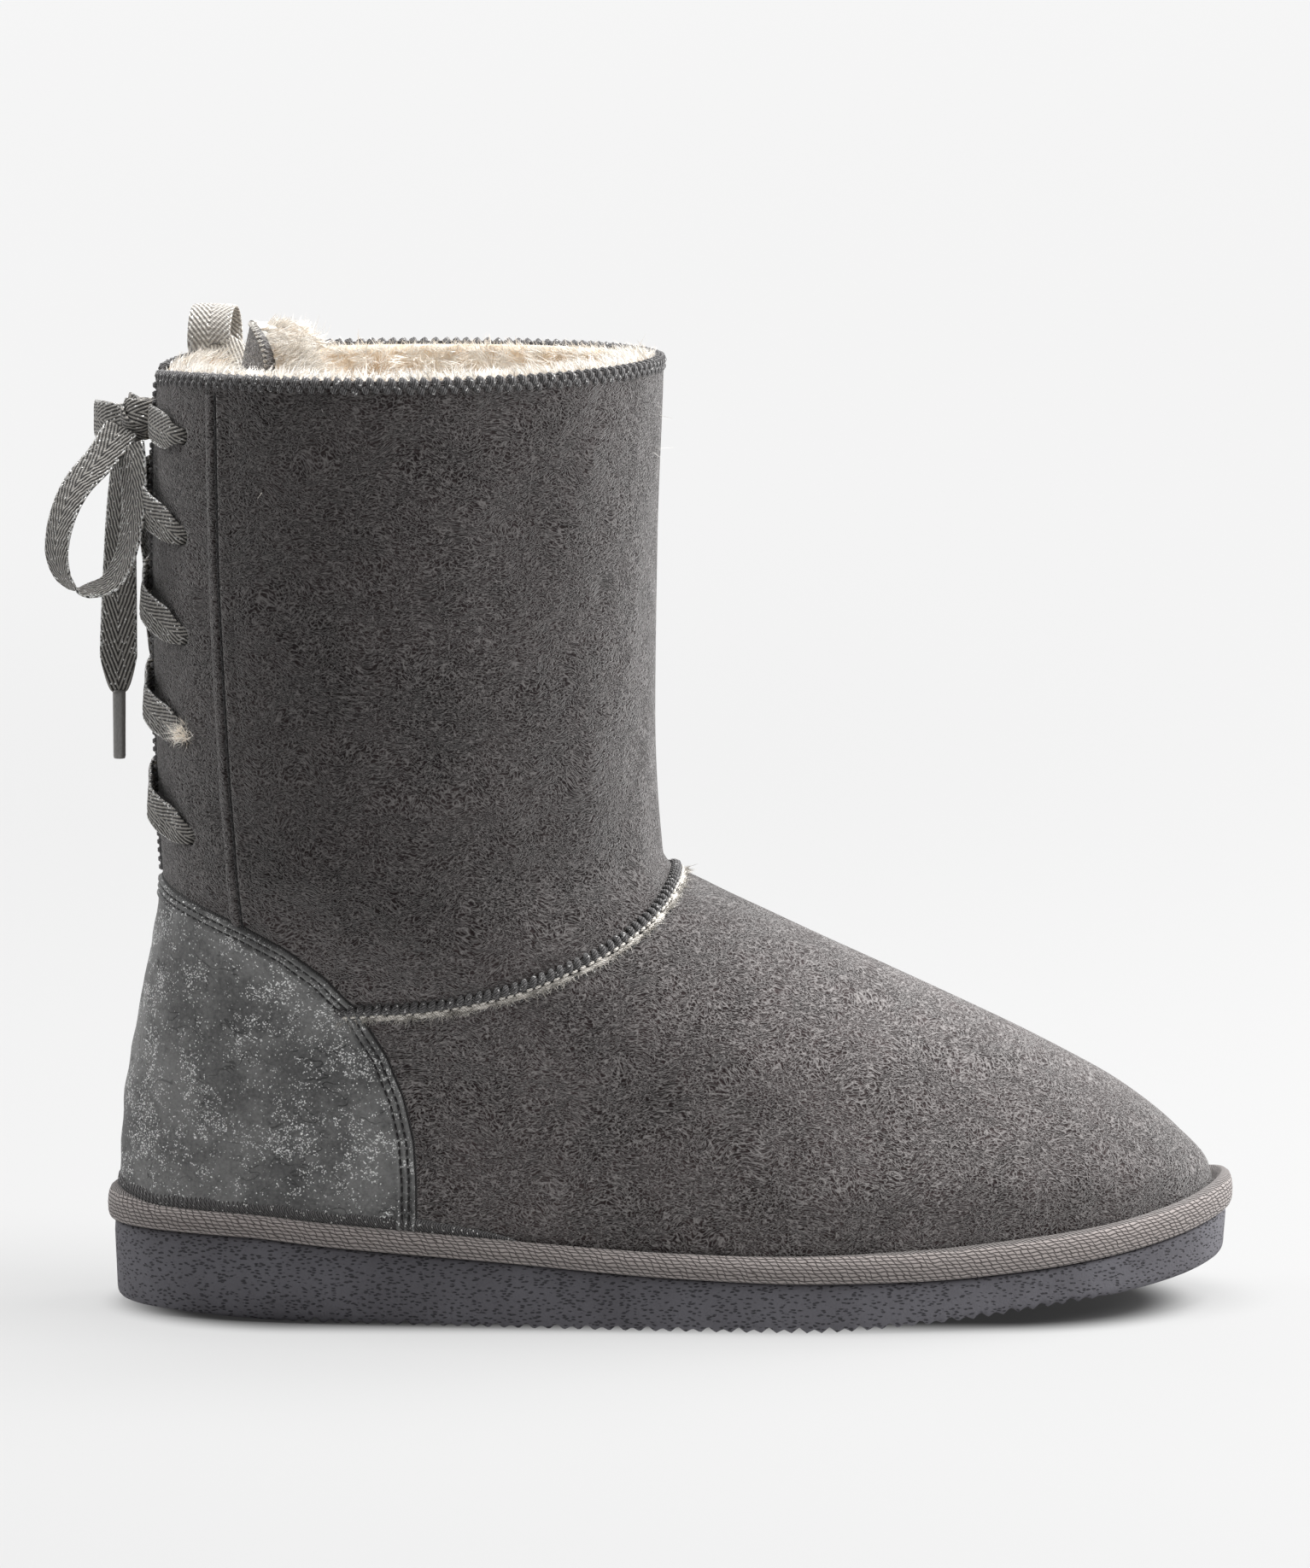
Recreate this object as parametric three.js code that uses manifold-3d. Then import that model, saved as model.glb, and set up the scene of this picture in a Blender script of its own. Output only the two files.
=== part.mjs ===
// A fur-lined boot for the right foot: suede upper on a wedge sole, laced down the back with a flat tape.
// Millimetres, +Z up, toe towards +X, outer side of the foot towards -Y. The origin is on the floor at the middle
// of the sole. The upper is one surface made of level slices, each an oval from heel to toe. The wall, the lining,
// the heel counter, the seam and the tongue are cut between that surface set in or out by some distance.

import * as THREE from "three";
import { mergeVertices } from "three/addons/utils/BufferGeometryUtils.js";
import Module from "manifold-3d";

const wasm = await Module();
wasm.setup();

// Whole boot
const bootLength = 280; // over the welt, heel to toe
const soleWidth = 104; // across the ball of the foot
const instepHeight = 109; // floor to the seam at the front of the ankle
const collarHeight = 236; // floor to the collar at the side
const shaftDepth = 125.5; // front to back of the shaft
const shaftWidth = 106; // side to side of the shaft
const shaftSetback = 11.7; // how far the back of the shaft stands in from the back of the welt
const toeSetback = 3.8; // how far the toe of the upper stands in from the welt
const heelSetback = 2.8; // the same at the heel
const medialSwing = 9; // how far the toe turns in towards the other foot

// Walls and clearances
const suedeWall = 2;
const furPile = 5.7;
const gap = 0.3; // between pieces that are sewn or glued together

// Sole
const heelRim = 21; // floor to the top of the sole under the heel
const toeSpring = 12; // floor to the bottom edge of the sole at the toe
const soleDraft = 2; // how far the bottom edge of the sole draws in
const soleEdge = 1.6; // height of the rounded bottom edge
const soleEdgeDraft = 0.35; // share of the draft that is left above that edge
const soleTopDraft = 0.2; // share of the draft at the sole's top
const treadPitch = 5;
const treadGroove = 2; // width of one groove at the sole's face
const treadDepth = 1.1;
const treadFrom = -112; // the grooved stretch, heel end
const treadTo = 98; // and toe end

// Welt: a tape-covered cord round the seat of the upper
const weltHeight = 11; // at the toe, where it is tallest
const weltOverhang = 1.7; // past the edge of the sole
const weltDepth = 9; // how far in its section starts before the upper is cut out of it

const insoleThickness = 4;

// Collar and raised pieces
const collarRise = 1.6; // the front of the collar above its sides
const bindingHeight = 5;
const bindingThickness = 0.9;
const counterThickness = 1;
const counterLength = 65.5; // forward from the back of the shaft, at the welt
const counterTop = 108; // floor to the top edge of the counter at the back
const seamWidth = 4.2;
const seamProud = 2.6;

// Lining fur at the collar
const furRise = 1.4; // the lining's top above the collar
const furLocks = 34;
const furLockHeight = 6.5;
const furLockRadius = 3;
const furLockSides = 5;
const furLockLean = 0.5; // most that a lock leans, in radians
const furLockVary = 0.25; // share by which their heights differ
const furLockSink = 0.8; // how deep a lock starts in the lining

// Slit, eyelets and lace
const slitTopWidth = 16;
const slitFootWidth = 8;
const slitFoot = 108; // floor to the foot of the slit
const eyeletRows = 5;
const eyeletLowest = 120; // floor to the lowest eyelet
const eyeletPitch = 24.7;
const eyeletReach = 27; // from the middle of the back, measured across
const eyeletRadius = 2.3;
const eyeletSides = 8;
const laceWidth = 9.4;
const laceThickness = 1;
const laceStandoff = 0.9; // from the wall to the middle of the lace
const laceEdgeRoom = 2.8; // a strand ends this far short of the other flap's edge
const knotDepth = 10;
const knotWidth = 12;
const knotHeight = 11;
const knotHeightAt = 220.7; // floor to the middle of the knot
const knotStandoff = 1.7; // its middle behind the back of the shaft
const knotRoom = 1.6; // between the knot and the strands beside it
const knotSides = 12;
const knotRings = 8;
const agletRadius = 1.5;
const agletLength = 16.5;

// Tongue behind the slit
const tongueThickness = 4;
const tongueTop = 244;
const tongueFoot = 101;
const tongueTopWidth = 54;
const tongueFootWidth = 26;
const tongueLean = 13.5; // how far its top stands forward of the lining
const tongueCorner = 13;
const tongueReach = 0.4; // share of the shaft's depth that its sides may reach forward

// Pull loop over the inner side of the collar
const loopWidth = 11;
const loopRise = 9.5; // above the collar
const loopLeg = 13; // sewn length below the collar
const loopSlack = 2.2; // between its inner leg and the lining
const loopReach = 33; // from the middle of the back, measured across

// Cutting blocks
const blockRoom = 20; // how far they stand past the boot
const slitDepth = 25; // forward from the back of the shaft
const holeOut = 10; // an eyelet's cut, out from the suede's face
const holeIn = 14; // and in from it
const collarSteps = 6; // straight pieces in a cut along the collar

// The slices of the upper, from under the sole to above the collar. level: 0 at the floor, 1 at the instep seam,
// 2 at the collar. toe and heel: from 0 at the shaft's own front or back to 1 at the ends of the foot. foot: 1 where
// the slice takes its width and swing from the sole, 0 where it takes them from the shaft. The last five are the
// fullness of the oval at its heel end, quarter points and toe end, as shares of half that width.
const slices = [
  { level: -0.2, toe: 1, heel: 1, foot: 1, back: 1.135, rear: 0.76, mid: 0.785, fore: 1.03, front: 1.17 },
  { level: 0.18, toe: 1, heel: 1, foot: 1, back: 1.135, rear: 0.762, mid: 0.787, fore: 1.032, front: 1.172 },
  { level: 0.3, toe: 0.985, heel: 0.93, foot: 1, back: 1.135, rear: 0.788, mid: 0.813, fore: 1.05, front: 1.19 },
  { level: 0.389, toe: 0.926, heel: 0.88, foot: 1, back: 1.115, rear: 0.779, mid: 0.813, fore: 1, front: 1.17 },
  { level: 0.488, toe: 0.83, heel: 0.8, foot: 1, back: 1.096, rear: 0.788, mid: 0.813, fore: 0.93, front: 1.04 },
  { level: 0.587, toe: 0.696, heel: 0.6, foot: 1, back: 1.077, rear: 0.808, mid: 0.827, fore: 0.894, front: 0.92 },
  { level: 0.735, toe: 0.464, heel: 0.27, foot: 0.9, back: 1.04, rear: 0.846, mid: 0.865, fore: 0.856, front: 0.8 },
  { level: 0.883, toe: 0.217, heel: -0.08, foot: 0.6, back: 1.015, rear: 0.92, mid: 0.905, fore: 0.86, front: 0.8 },
  { level: 0.982, toe: 0.058, heel: -0.21, foot: 0.35, back: 1.01, rear: 0.96, mid: 0.945, fore: 0.91, front: 0.88 },
  { level: 1.03, toe: 0.006, heel: -0.17, foot: 0.2, back: 1.005, rear: 0.98, mid: 0.965, fore: 0.95, front: 0.95 },
  { level: 1.3, toe: -0.008, heel: -0.05, foot: 0, back: 1, rear: 0.99, mid: 0.98, fore: 0.98, front: 0.99 },
  { level: 1.65, toe: -0.004, heel: 0.02, foot: 0, back: 1, rear: 0.99, mid: 0.985, fore: 0.985, front: 1 },
  { level: 2, toe: 0.007, heel: 0, foot: 0, back: 1.01, rear: 1, mid: 1, fore: 1, front: 1.01 },
  { level: 2.25, toe: 0.009, heel: 0, foot: 0, back: 1.01, rear: 1, mid: 1, fore: 1, front: 1.01 },
];

// The sole from the side. at: share of the boot's length from the heel. floor: its underside, as a share of the toe
// spring. rim: its top, as a share of the heel rim. welt: the welt's height, as a share of its height at the toe.
const soleLine = [
  { at: 0.0, floor: 0.15, rim: 1.0, welt: 0.85 },
  { at: 0.05, floor: 0.125, rim: 1.01, welt: 0.55 },
  { at: 0.12, floor: 0.06, rim: 0.996, welt: 0.53 },
  { at: 0.2, floor: 0.0, rim: 0.91, welt: 0.53 },
  { at: 0.35, floor: 0.0, rim: 0.782, welt: 0.51 },
  { at: 0.5, floor: 0.0, rim: 0.64, welt: 0.56 },
  { at: 0.62, floor: 0.0, rim: 0.585, welt: 0.63 },
  { at: 0.71, floor: 0.115, rim: 0.6, welt: 0.7 },
  { at: 0.81, floor: 0.34, rim: 0.672, welt: 0.74 },
  { at: 0.885, floor: 0.52, rim: 0.77, welt: 0.73 },
  { at: 0.95, floor: 0.73, rim: 0.92, welt: 0.75 },
  { at: 1.0, floor: 1.0, rim: 1.1, welt: 0.85 },
];

// The sole's outline, as fullness like that of the slices, and the swing of the foot's middle line, heel to toe.
const solePlan = [1.19, 0.817, 0.842, 1.096, 1.23];
const swingPlan = [0, -0.2, -0.49, 0.29, 1];

// The welt's section, from its seat on the sole round the outside to the top. out: share of the overhang past the
// sole's edge. up: share of its height there.
const weltSection = [
  { out: 0.5, up: 0 },
  { out: 1, up: 0.22 },
  { out: 0.98, up: 0.6 },
  { out: 0.4, up: 0.88 },
  { out: -0.6, up: 1 },
];

// The seam between vamp and shaft, from the side: at is the share of the shaft's depth forward from its back,
// up the share of the instep height.
const seamLine = [
  { at: 0.36, up: 0.71 },
  { at: 0.525, up: 0.727 },
  { at: 0.615, up: 0.746 },
  { at: 0.707, up: 0.773 },
  { at: 0.797, up: 0.811 },
  { at: 0.889, up: 0.858 },
  { at: 0.957, up: 0.904 },
  { at: 1.005, up: 0.948 },
  { at: 1.035, up: 0.99 },
  { at: 1.06, up: 1.03 },
];

// The counter's edge from the side, from the back of the shaft to the welt. at is the share of its length, up the
// share of the height of its top above the heel rim.
const counterLine = [
  { at: 0.0, up: 1.0 },
  { at: 0.07, up: 0.97 },
  { at: 0.2, up: 0.935 },
  { at: 0.36, up: 0.89 },
  { at: 0.51, up: 0.835 },
  { at: 0.66, up: 0.755 },
  { at: 0.79, up: 0.65 },
  { at: 0.89, up: 0.535 },
  { at: 0.955, up: 0.41 },
  { at: 0.99, up: 0.29 },
  { at: 1.0, up: 0.17 },
  { at: 1.0, up: 0.0 },
];

// A strand of lace from its eyelet to where it dips under the other flap. run: share of the way. out: its distance
// from the wall, as a share of the lace's standoff. width: share of the lace's width, less where it is gathered.
const strandLine = [
  { run: 0, out: 1, width: 0.5 },
  { run: 0.16, out: 1, width: 0.9 },
  { run: 0.4, out: 1.1, width: 1 },
  { run: 0.62, out: 1.7, width: 1 },
  { run: 0.84, out: 1.7, width: 1 },
  { run: 1, out: -1.6, width: 1 },
];
const topStrandLine = [
  { run: 0, out: 1, width: 0.5 },
  { run: 0.25, out: 1, width: 1 },
  { run: 0.6, out: 1.1, width: 1 },
  { run: 1, out: 1.2, width: 0.9 },
];

const around = 32; // points round a slice
const levels = [-0.12, 0.2, 0.32, 0.42, 0.52, 0.62, 0.72, 0.82, 0.91, 0.98, 1.04, 1.3, 1.65, 2.0, 2.16];
const tongueLevels = [0.82, 0.91, 0.98, 1.04, 1.3, 1.5, 1.65, 1.85, 2.0, 2.16];

const halfLength = bootLength / 2;
const shaftBack = -halfLength + shaftSetback;
const shaftFront = shaftBack + shaftDepth;
const footBack = -halfLength + heelSetback;
const footFront = halfLength - toeSetback;
const soleHalf = halfLength - weltOverhang;

// A smooth curve through the points of a table that never swings past them.
function smoothCurve(at, value) {
  const n = at.length;
  const rise = at.slice(1).map((a, i) => (value[i + 1] - value[i]) / (a - at[i]));
  const slope = at.map((_, i) => {
    if (i === 0) return rise[0];
    if (i === n - 1) return rise[n - 2];
    const product = rise[i - 1] * rise[i];
    return product <= 0 ? 0 : (2 * product) / (rise[i - 1] + rise[i]);
  });
  return (x) => {
    if (x <= at[0]) return value[0];
    if (x >= at[n - 1]) return value[n - 1];
    const i = at.findIndex((a) => a > x) - 1;
    const span = at[i + 1] - at[i];
    const t = (x - at[i]) / span;
    const a = value[i] * (1 + 2 * t) * (1 - t) ** 2 + value[i + 1] * t * t * (3 - 2 * t);
    return a + span * (slope[i] * t * (1 - t) ** 2 - slope[i + 1] * t * t * (1 - t));
  };
}

const column = (table, key, name) =>
  smoothCurve(table.map((row) => row[key]), table.map((row) => row[name]));

// The one quartic through five values at 0, 1/4, 1/2, 3/4 and 1.
function through5(values, share) {
  const t = share * 4;
  return values.reduce((sum, value, i) => {
    let weight = 1;
    for (let j = 0; j < 5; j++) if (j !== i) weight *= (t - j) / (i - j);
    return sum + value * weight;
  }, 0);
}

const sliceColumns = Object.fromEntries(
  Object.keys(slices[0]).map((name) => [name, column(slices, "level", name)]),
);
const lengthShare = (x) => x / bootLength + 0.5;
const floorShare = column(soleLine, "at", "floor");
const rimShare = column(soleLine, "at", "rim");
const weltShare = column(soleLine, "at", "welt");
const soleFloor = (x) => toeSpring * floorShare(lengthShare(x));
const soleRim = (x) => heelRim * rimShare(lengthShare(x));
const weltRise = (x) => weltHeight * weltShare(lengthShare(x));
const swing = (x) => medialSwing * through5(swingPlan, THREE.MathUtils.clamp(lengthShare(x), 0, 1));

const heightOf = (level) =>
  level <= 1 ? level * instepHeight : instepHeight + (level - 1) * (collarHeight - instepHeight);
const levelOf = (z) =>
  z <= instepHeight ? z / instepHeight : 1 + (z - instepHeight) / (collarHeight - instepHeight);

// A point of an oval from back to front. turn runs from 0 at the heel end, over the outer side, to pi at the toe.
function ovalPoint(turn, back, front, fullness, half, bend) {
  const share = (1 - Math.cos(turn)) / 2;
  const x = back + (front - back) * share;
  return new THREE.Vector2(x, bend * swing(x) - half * through5(fullness, share) * Math.sin(turn));
}

// The upper's outer surface.
function upperPoint(turn, level) {
  const s = Object.fromEntries(Object.entries(sliceColumns).map(([name, curve]) => [name, curve(level)]));
  const front = shaftFront + s.toe * (footFront - shaftFront);
  const back = shaftBack + s.heel * (footBack - shaftBack);
  const half = (s.foot * soleWidth + (1 - s.foot) * shaftWidth) / 2;
  const p = ovalPoint(turn, back, front, [s.back, s.rear, s.mid, s.fore, s.front], half, s.foot);
  return new THREE.Vector3(p.x, p.y, heightOf(level));
}

// The same surface set out by a distance along its normal, or in where the distance is negative.
function upperAt(turn, level, out) {
  const step = 0.002;
  const p = upperPoint(turn, level);
  const along = upperPoint(turn + step, level).sub(upperPoint(turn - step, level));
  const up = upperPoint(turn, level + step).sub(upperPoint(turn, level - step));
  return p.addScaledVector(along.cross(up).normalize(), out);
}

const soleOutline = (turn) => ovalPoint(turn, -soleHalf, soleHalf, solePlan, soleWidth / 2, 1);

// The sole's outline set out level by a distance.
function soleAt(turn, out) {
  const step = 0.002;
  const along = soleOutline(turn + step).sub(soleOutline(turn - step)).normalize();
  return soleOutline(turn).add(new THREE.Vector2(along.y, -along.x).multiplyScalar(out));
}

const turns = Array.from({ length: around }, (_, i) => (2 * Math.PI * i) / around);

// Solids
function solidOf(geometry) {
  for (const name of Object.keys(geometry.attributes)) {
    if (name !== "position") geometry.deleteAttribute(name);
  }
  const merged = mergeVertices(geometry, 1e-4);
  return new wasm.Manifold(
    new wasm.Mesh({
      numProp: 3,
      vertProperties: new Float32Array(merged.attributes.position.array),
      triVerts: new Uint32Array(merged.index.array),
    }),
  );
}

// A solid through closed rings of points, first ring to last, with both ends closed by strips across the ring.
function stackSolid(rings) {
  const count = rings[0].length;
  const positions = rings.flat().flatMap((p) => [p.x, p.y, p.z]);
  const faces = [];
  for (let r = 0; r + 1 < rings.length; r++) {
    for (let i = 0; i < count; i++) {
      const a = r * count + i;
      const b = r * count + ((i + 1) % count);
      faces.push(a, b, b + count, a, b + count, a + count);
    }
  }
  const top = (rings.length - 1) * count;
  for (let i = 0; 2 * i + 1 < count; i++) {
    const j = (count - i) % count;
    const k = count - i - 1;
    if (i + 1 < k) faces.push(i, k, i + 1, top + i, top + i + 1, top + k);
    if (i > 0) faces.push(i, j, k, top + i, top + k, top + j);
  }
  const geometry = new THREE.BufferGeometry();
  geometry.setAttribute("position", new THREE.BufferAttribute(new Float32Array(positions), 3));
  geometry.setIndex(faces);
  return solidOf(geometry);
}

// The upper's form, filled, with its surface set out by a distance that may change with height.
const form = (out, at = levels) =>
  stackSolid(at.map((level) => turns.map((turn) => upperAt(turn, level, out(heightOf(level))))));
const evenForm = (out) => form(() => out);

// A block with a given side view, points being x and z, running right across the boot.
function sideBlock(points) {
  const shape = new THREE.Shape(points.map(([x, z]) => new THREE.Vector2(x, z)));
  const geometry = new THREE.ExtrudeGeometry(shape, { depth: 2 * shaftWidth, bevelEnabled: false });
  geometry.rotateX(Math.PI / 2).translate(0, shaftWidth, 0);
  return solidOf(geometry);
}

// A block with a given view from behind, points being y and z, through the back wall from one x to another.
function backBlock(points, from, to) {
  const shape = new THREE.Shape(points.map(([y, z]) => new THREE.Vector2(y, z)));
  const geometry = new THREE.ExtrudeGeometry(shape, { depth: to - from, bevelEnabled: false });
  geometry.rotateX(Math.PI / 2).rotateZ(Math.PI / 2).translate(from, 0, 0);
  return solidOf(geometry);
}

// Everything above a curve that runs the length of the boot, or below it.
function halfSpace(curve, above, steps = 40) {
  const reach = halfLength + blockRoom;
  const line = Array.from({ length: steps + 1 }, (_, i) => {
    const x = -reach + (2 * reach * i) / steps;
    return [x, curve(x)];
  });
  const far = above ? 2 * collarHeight : -collarHeight;
  return sideBlock([...line, [reach, far], [-reach, far]]);
}

// A flat tape through points, its width lying along the given directions.
function tape(points, across, widths, thickness) {
  const rings = points.map((p, i) => {
    const ahead = points[Math.min(i + 1, points.length - 1)].clone().sub(points[Math.max(i - 1, 0)]).normalize();
    const side = across[i].clone().addScaledVector(ahead, -across[i].dot(ahead)).normalize();
    const face = new THREE.Vector3().crossVectors(ahead, side);
    return [[-1, -1], [1, -1], [1, 1], [-1, 1]].map(([s, f]) =>
      p.clone().addScaledVector(side, (s * widths[i]) / 2).addScaledVector(face, (f * thickness) / 2),
    );
  });
  return stackSolid(rings);
}

// A tape along a smooth curve through hand-picked points.
function freeTape(route, across, steps) {
  const curve = new THREE.CatmullRomCurve3(route.map((p) => new THREE.Vector3(...p)), false, "centripetal");
  const points = curve.getSpacedPoints(steps);
  const direction = new THREE.CatmullRomCurve3(across.map((p) => new THREE.Vector3(...p)), false, "centripetal");
  const sides = points.map((_, i) => direction.getPoint(i / steps));
  return tape(points, sides, points.map(() => laceWidth), laceThickness);
}

// Sole, insole and welt
const collarLine = (x) => {
  const share = (x - shaftBack) / shaftDepth;
  return collarHeight + collarRise * (share * share + 0.4 * (1 - share) ** 2 - 0.1);
};

function makeOutsole() {
  const ring = (out, height) =>
    turns.map((turn) => {
      const p = soleAt(turn, out);
      return new THREE.Vector3(p.x, p.y, height(p.x));
    });
  const body = stackSolid([
    ring(-soleDraft, (x) => soleFloor(x)),
    ring(-soleDraft * soleEdgeDraft, (x) => soleFloor(x) + soleEdge),
    ring(0, (x) => (soleFloor(x) + soleRim(x)) / 2),
    ring(-soleDraft * soleTopDraft, (x) => soleRim(x)),
  ]);
  const grooves = [];
  for (let x = treadFrom; x <= treadTo; x += treadPitch) {
    const z = soleFloor(x);
    const tilt = (soleFloor(x + treadGroove) - soleFloor(x - treadGroove)) / 2;
    const start = [x - treadGroove, z - tilt - treadDepth];
    const end = [x + treadGroove, z + tilt - treadDepth];
    grooves.push(sideBlock([start, end, [x, z + treadDepth]]));
  }
  return grooves.reduce((solid, groove) => solid.subtract(groove), body);
}

function makeWelt() {
  const ring = (out, up) =>
    turns.map((turn) => {
      const p = soleAt(turn, out);
      return new THREE.Vector3(p.x, p.y, soleRim(p.x) + gap + up * weltRise(p.x));
    });
  const outside = weltSection.map((row) => ring(row.out * weltOverhang, row.up));
  const rings = [ring(-weltDepth, 0), ...outside, ring(-weltDepth, 1)];
  return stackSolid(rings).subtract(evenForm(gap));
}

const makeInsole = () =>
  evenForm(-suedeWall - gap)
    .intersect(halfSpace((x) => soleRim(x) + gap, true))
    .subtract(halfSpace((x) => soleRim(x) + gap + insoleThickness, true));

// Upper, lining and what is sewn on them
const slitCutter = () =>
  backBlock(
    [
      [-slitFootWidth / 2, slitFoot + slitFootWidth / 3],
      [-slitFootWidth / 4, slitFoot],
      [slitFootWidth / 4, slitFoot],
      [slitFootWidth / 2, slitFoot + slitFootWidth / 3],
      [slitTopWidth / 2, collarHeight],
      [slitTopWidth / 2, 2 * collarHeight],
      [-slitTopWidth / 2, 2 * collarHeight],
      [-slitTopWidth / 2, collarHeight],
    ],
    -halfLength - blockRoom,
    shaftBack + slitDepth,
  );

// The turn round the shaft at which its wall stands a given way out from the middle of the back.
const turnAt = (across) => Math.asin((2 * across) / shaftWidth);
const eyeletHeights = Array.from({ length: eyeletRows }, (_, i) => eyeletLowest + i * eyeletPitch);

function eyeletCutter(side, z) {
  const turn = turnAt(side * eyeletReach);
  const outside = upperAt(turn, levelOf(z), holeOut);
  const inside = upperAt(turn, levelOf(z), -holeIn);
  const geometry = new THREE.CylinderGeometry(eyeletRadius, eyeletRadius, outside.distanceTo(inside), eyeletSides);
  const axis = outside.clone().sub(inside).normalize();
  geometry.applyQuaternion(new THREE.Quaternion().setFromUnitVectors(new THREE.Vector3(0, 1, 0), axis));
  const middle = outside.add(inside).multiplyScalar(0.5);
  return solidOf(geometry.translate(middle.x, middle.y, middle.z));
}

function openBack(solid) {
  let cut = solid.subtract(slitCutter());
  for (const z of eyeletHeights) {
    for (const side of [-1, 1]) cut = cut.subtract(eyeletCutter(side, z));
  }
  return cut;
}

const makeUpper = () =>
  openBack(
    evenForm(0)
      .subtract(evenForm(-suedeWall))
      .intersect(halfSpace((x) => soleRim(x) + gap, true))
      .subtract(halfSpace(collarLine, true, collarSteps)),
  );

function furLock(i) {
  const turn = (2 * Math.PI * (i + 0.5)) / furLocks;
  const lean = furLockLean * Math.sin(i * 2.4); // each lock leans its own way
  const height = furLockHeight * (1 + furLockVary * Math.cos(i * 1.9));
  const geometry = new THREE.ConeGeometry(furLockRadius, height, furLockSides);
  geometry.rotateX(Math.PI / 2).rotateY(lean);
  const seat = upperAt(turn, 2, -suedeWall - gap - furPile / 2);
  const foot = collarLine(seat.x) + furRise - furLockSink;
  return solidOf(geometry.translate(seat.x, seat.y, foot + height / 2));
}

function makeLining() {
  const sleeve = evenForm(-suedeWall - gap)
    .subtract(evenForm(-suedeWall - gap - furPile))
    .intersect(halfSpace((x) => soleRim(x) + insoleThickness + 2 * gap, true))
    .subtract(halfSpace((x) => collarLine(x) + furRise, true, collarSteps));
  let fur = sleeve.subtract(slitCutter());
  for (let i = 1; i + 1 < furLocks; i++) fur = fur.add(furLock(i));
  return fur;
}

// A block with the counter's side view, let out by a distance.
function counterBlock(out) {
  const foot = heelRim;
  const edge = counterLine.map((row) => [
    shaftBack + row.at * (counterLength + out),
    foot + row.up * (counterTop - foot) + out,
  ]);
  const front = shaftBack + counterLength + out;
  return sideBlock([[-bootLength, 0], [-bootLength, counterTop + out], ...edge, [front, 0]]);
}

const makeCounter = () =>
  evenForm(gap + counterThickness)
    .subtract(evenForm(gap))
    .intersect(counterBlock(0))
    .intersect(halfSpace((x) => soleRim(x) + weltRise(x) + 3 * gap, true));

function makeSeam() {
  const line = seamLine.map((row) => [shaftBack + row.at * shaftDepth, row.up * instepHeight]);
  const band = sideBlock([
    ...line.map(([x, z]) => [x, z - seamWidth / 2]),
    ...line.map(([x, z]) => [x, z + seamWidth / 2]).reverse(),
  ]);
  return evenForm(gap + seamProud).subtract(evenForm(gap)).intersect(band).subtract(counterBlock(gap));
}

const makeBinding = () =>
  evenForm(gap + bindingThickness)
    .subtract(evenForm(gap))
    .subtract(slitCutter())
    .subtract(halfSpace(collarLine, true, collarSteps))
    .intersect(halfSpace((x) => collarLine(x) - bindingHeight, true, collarSteps));

function makeTongue() {
  const start = suedeWall + furPile + 3 * gap;
  const lean = (z) => {
    const share = Math.max(0, (z - tongueFoot) / (tongueTop - tongueFoot));
    return tongueLean * share * share;
  };
  const shell = form((z) => -start - lean(z), tongueLevels).subtract(
    form((z) => -start - lean(z) - tongueThickness, tongueLevels),
  );
  const top = tongueTopWidth / 2;
  const foot = tongueFootWidth / 2;
  const corner = [0, 0.25, 0.5, 0.75, 1].map((t) => {
    const a = (Math.PI / 2) * t;
    return [top - tongueCorner * (1 - Math.cos(a)), tongueTop - tongueCorner * (1 - Math.sin(a))];
  });
  const farCorner = corner.map(([y, z]) => [-y, z]).reverse();
  const outline = [[-foot, tongueFoot], [foot, tongueFoot], ...corner, ...farCorner];
  return shell.intersect(backBlock(outline, -halfLength, shaftBack + tongueReach * shaftDepth));
}

function makePullLoop() {
  const turn = turnAt(-loopReach);
  const outer = gap + bindingThickness + gap + laceThickness / 2;
  const inner = -suedeWall - furPile - loopSlack - laceThickness / 2;
  const middle = (outer + inner) / 2;
  const half = (outer - inner) / 2;
  const base = upperPoint(turn, 2);
  const outward = upperAt(turn, 2, 1).sub(base).setZ(0).normalize();
  const place = (out, z) => base.clone().addScaledVector(outward, out).setZ(z);
  const rim = collarLine(base.x);
  const points = [place(outer, rim - loopLeg), place(outer, rim - loopLeg / 2)];
  const steps = 12;
  for (let i = 0; i <= steps; i++) {
    const a = (Math.PI * i) / steps;
    points.push(place(middle + half * Math.cos(a), rim + 1 + (loopRise - 1) * Math.sin(a)));
  }
  points.push(place(inner, rim - loopLeg / 2), place(inner, rim - loopLeg));
  const along = new THREE.Vector3(-outward.y, outward.x, 0);
  return tape(points, points.map(() => along), points.map(() => loopWidth), laceThickness);
}

// Lace. Each strand comes out of an eyelet, lies on the flap, crosses the slit on the rise and dips in under the
// other flap. The two strands of a pair are joined where they cross. The top two end beside the knot.
function laceStrand(side, z, endReach, endZ, line) {
  const startReach = side * eyeletReach;
  const place = (run, out) =>
    upperAt(turnAt(startReach + (endReach - startReach) * run), levelOf(z + (endZ - z) * run), out);
  const points = line.map((row) => place(row.run, row.out * laceStandoff));
  const across = line.map((row, i) => {
    const outward = place(row.run, 1).sub(place(row.run, 0));
    const ahead = points[Math.min(i + 1, line.length - 1)].clone().sub(points[Math.max(i - 1, 0)]);
    return ahead.cross(outward);
  });
  return tape(points, across, line.map((row) => row.width * laceWidth), laceThickness);
}

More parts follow.
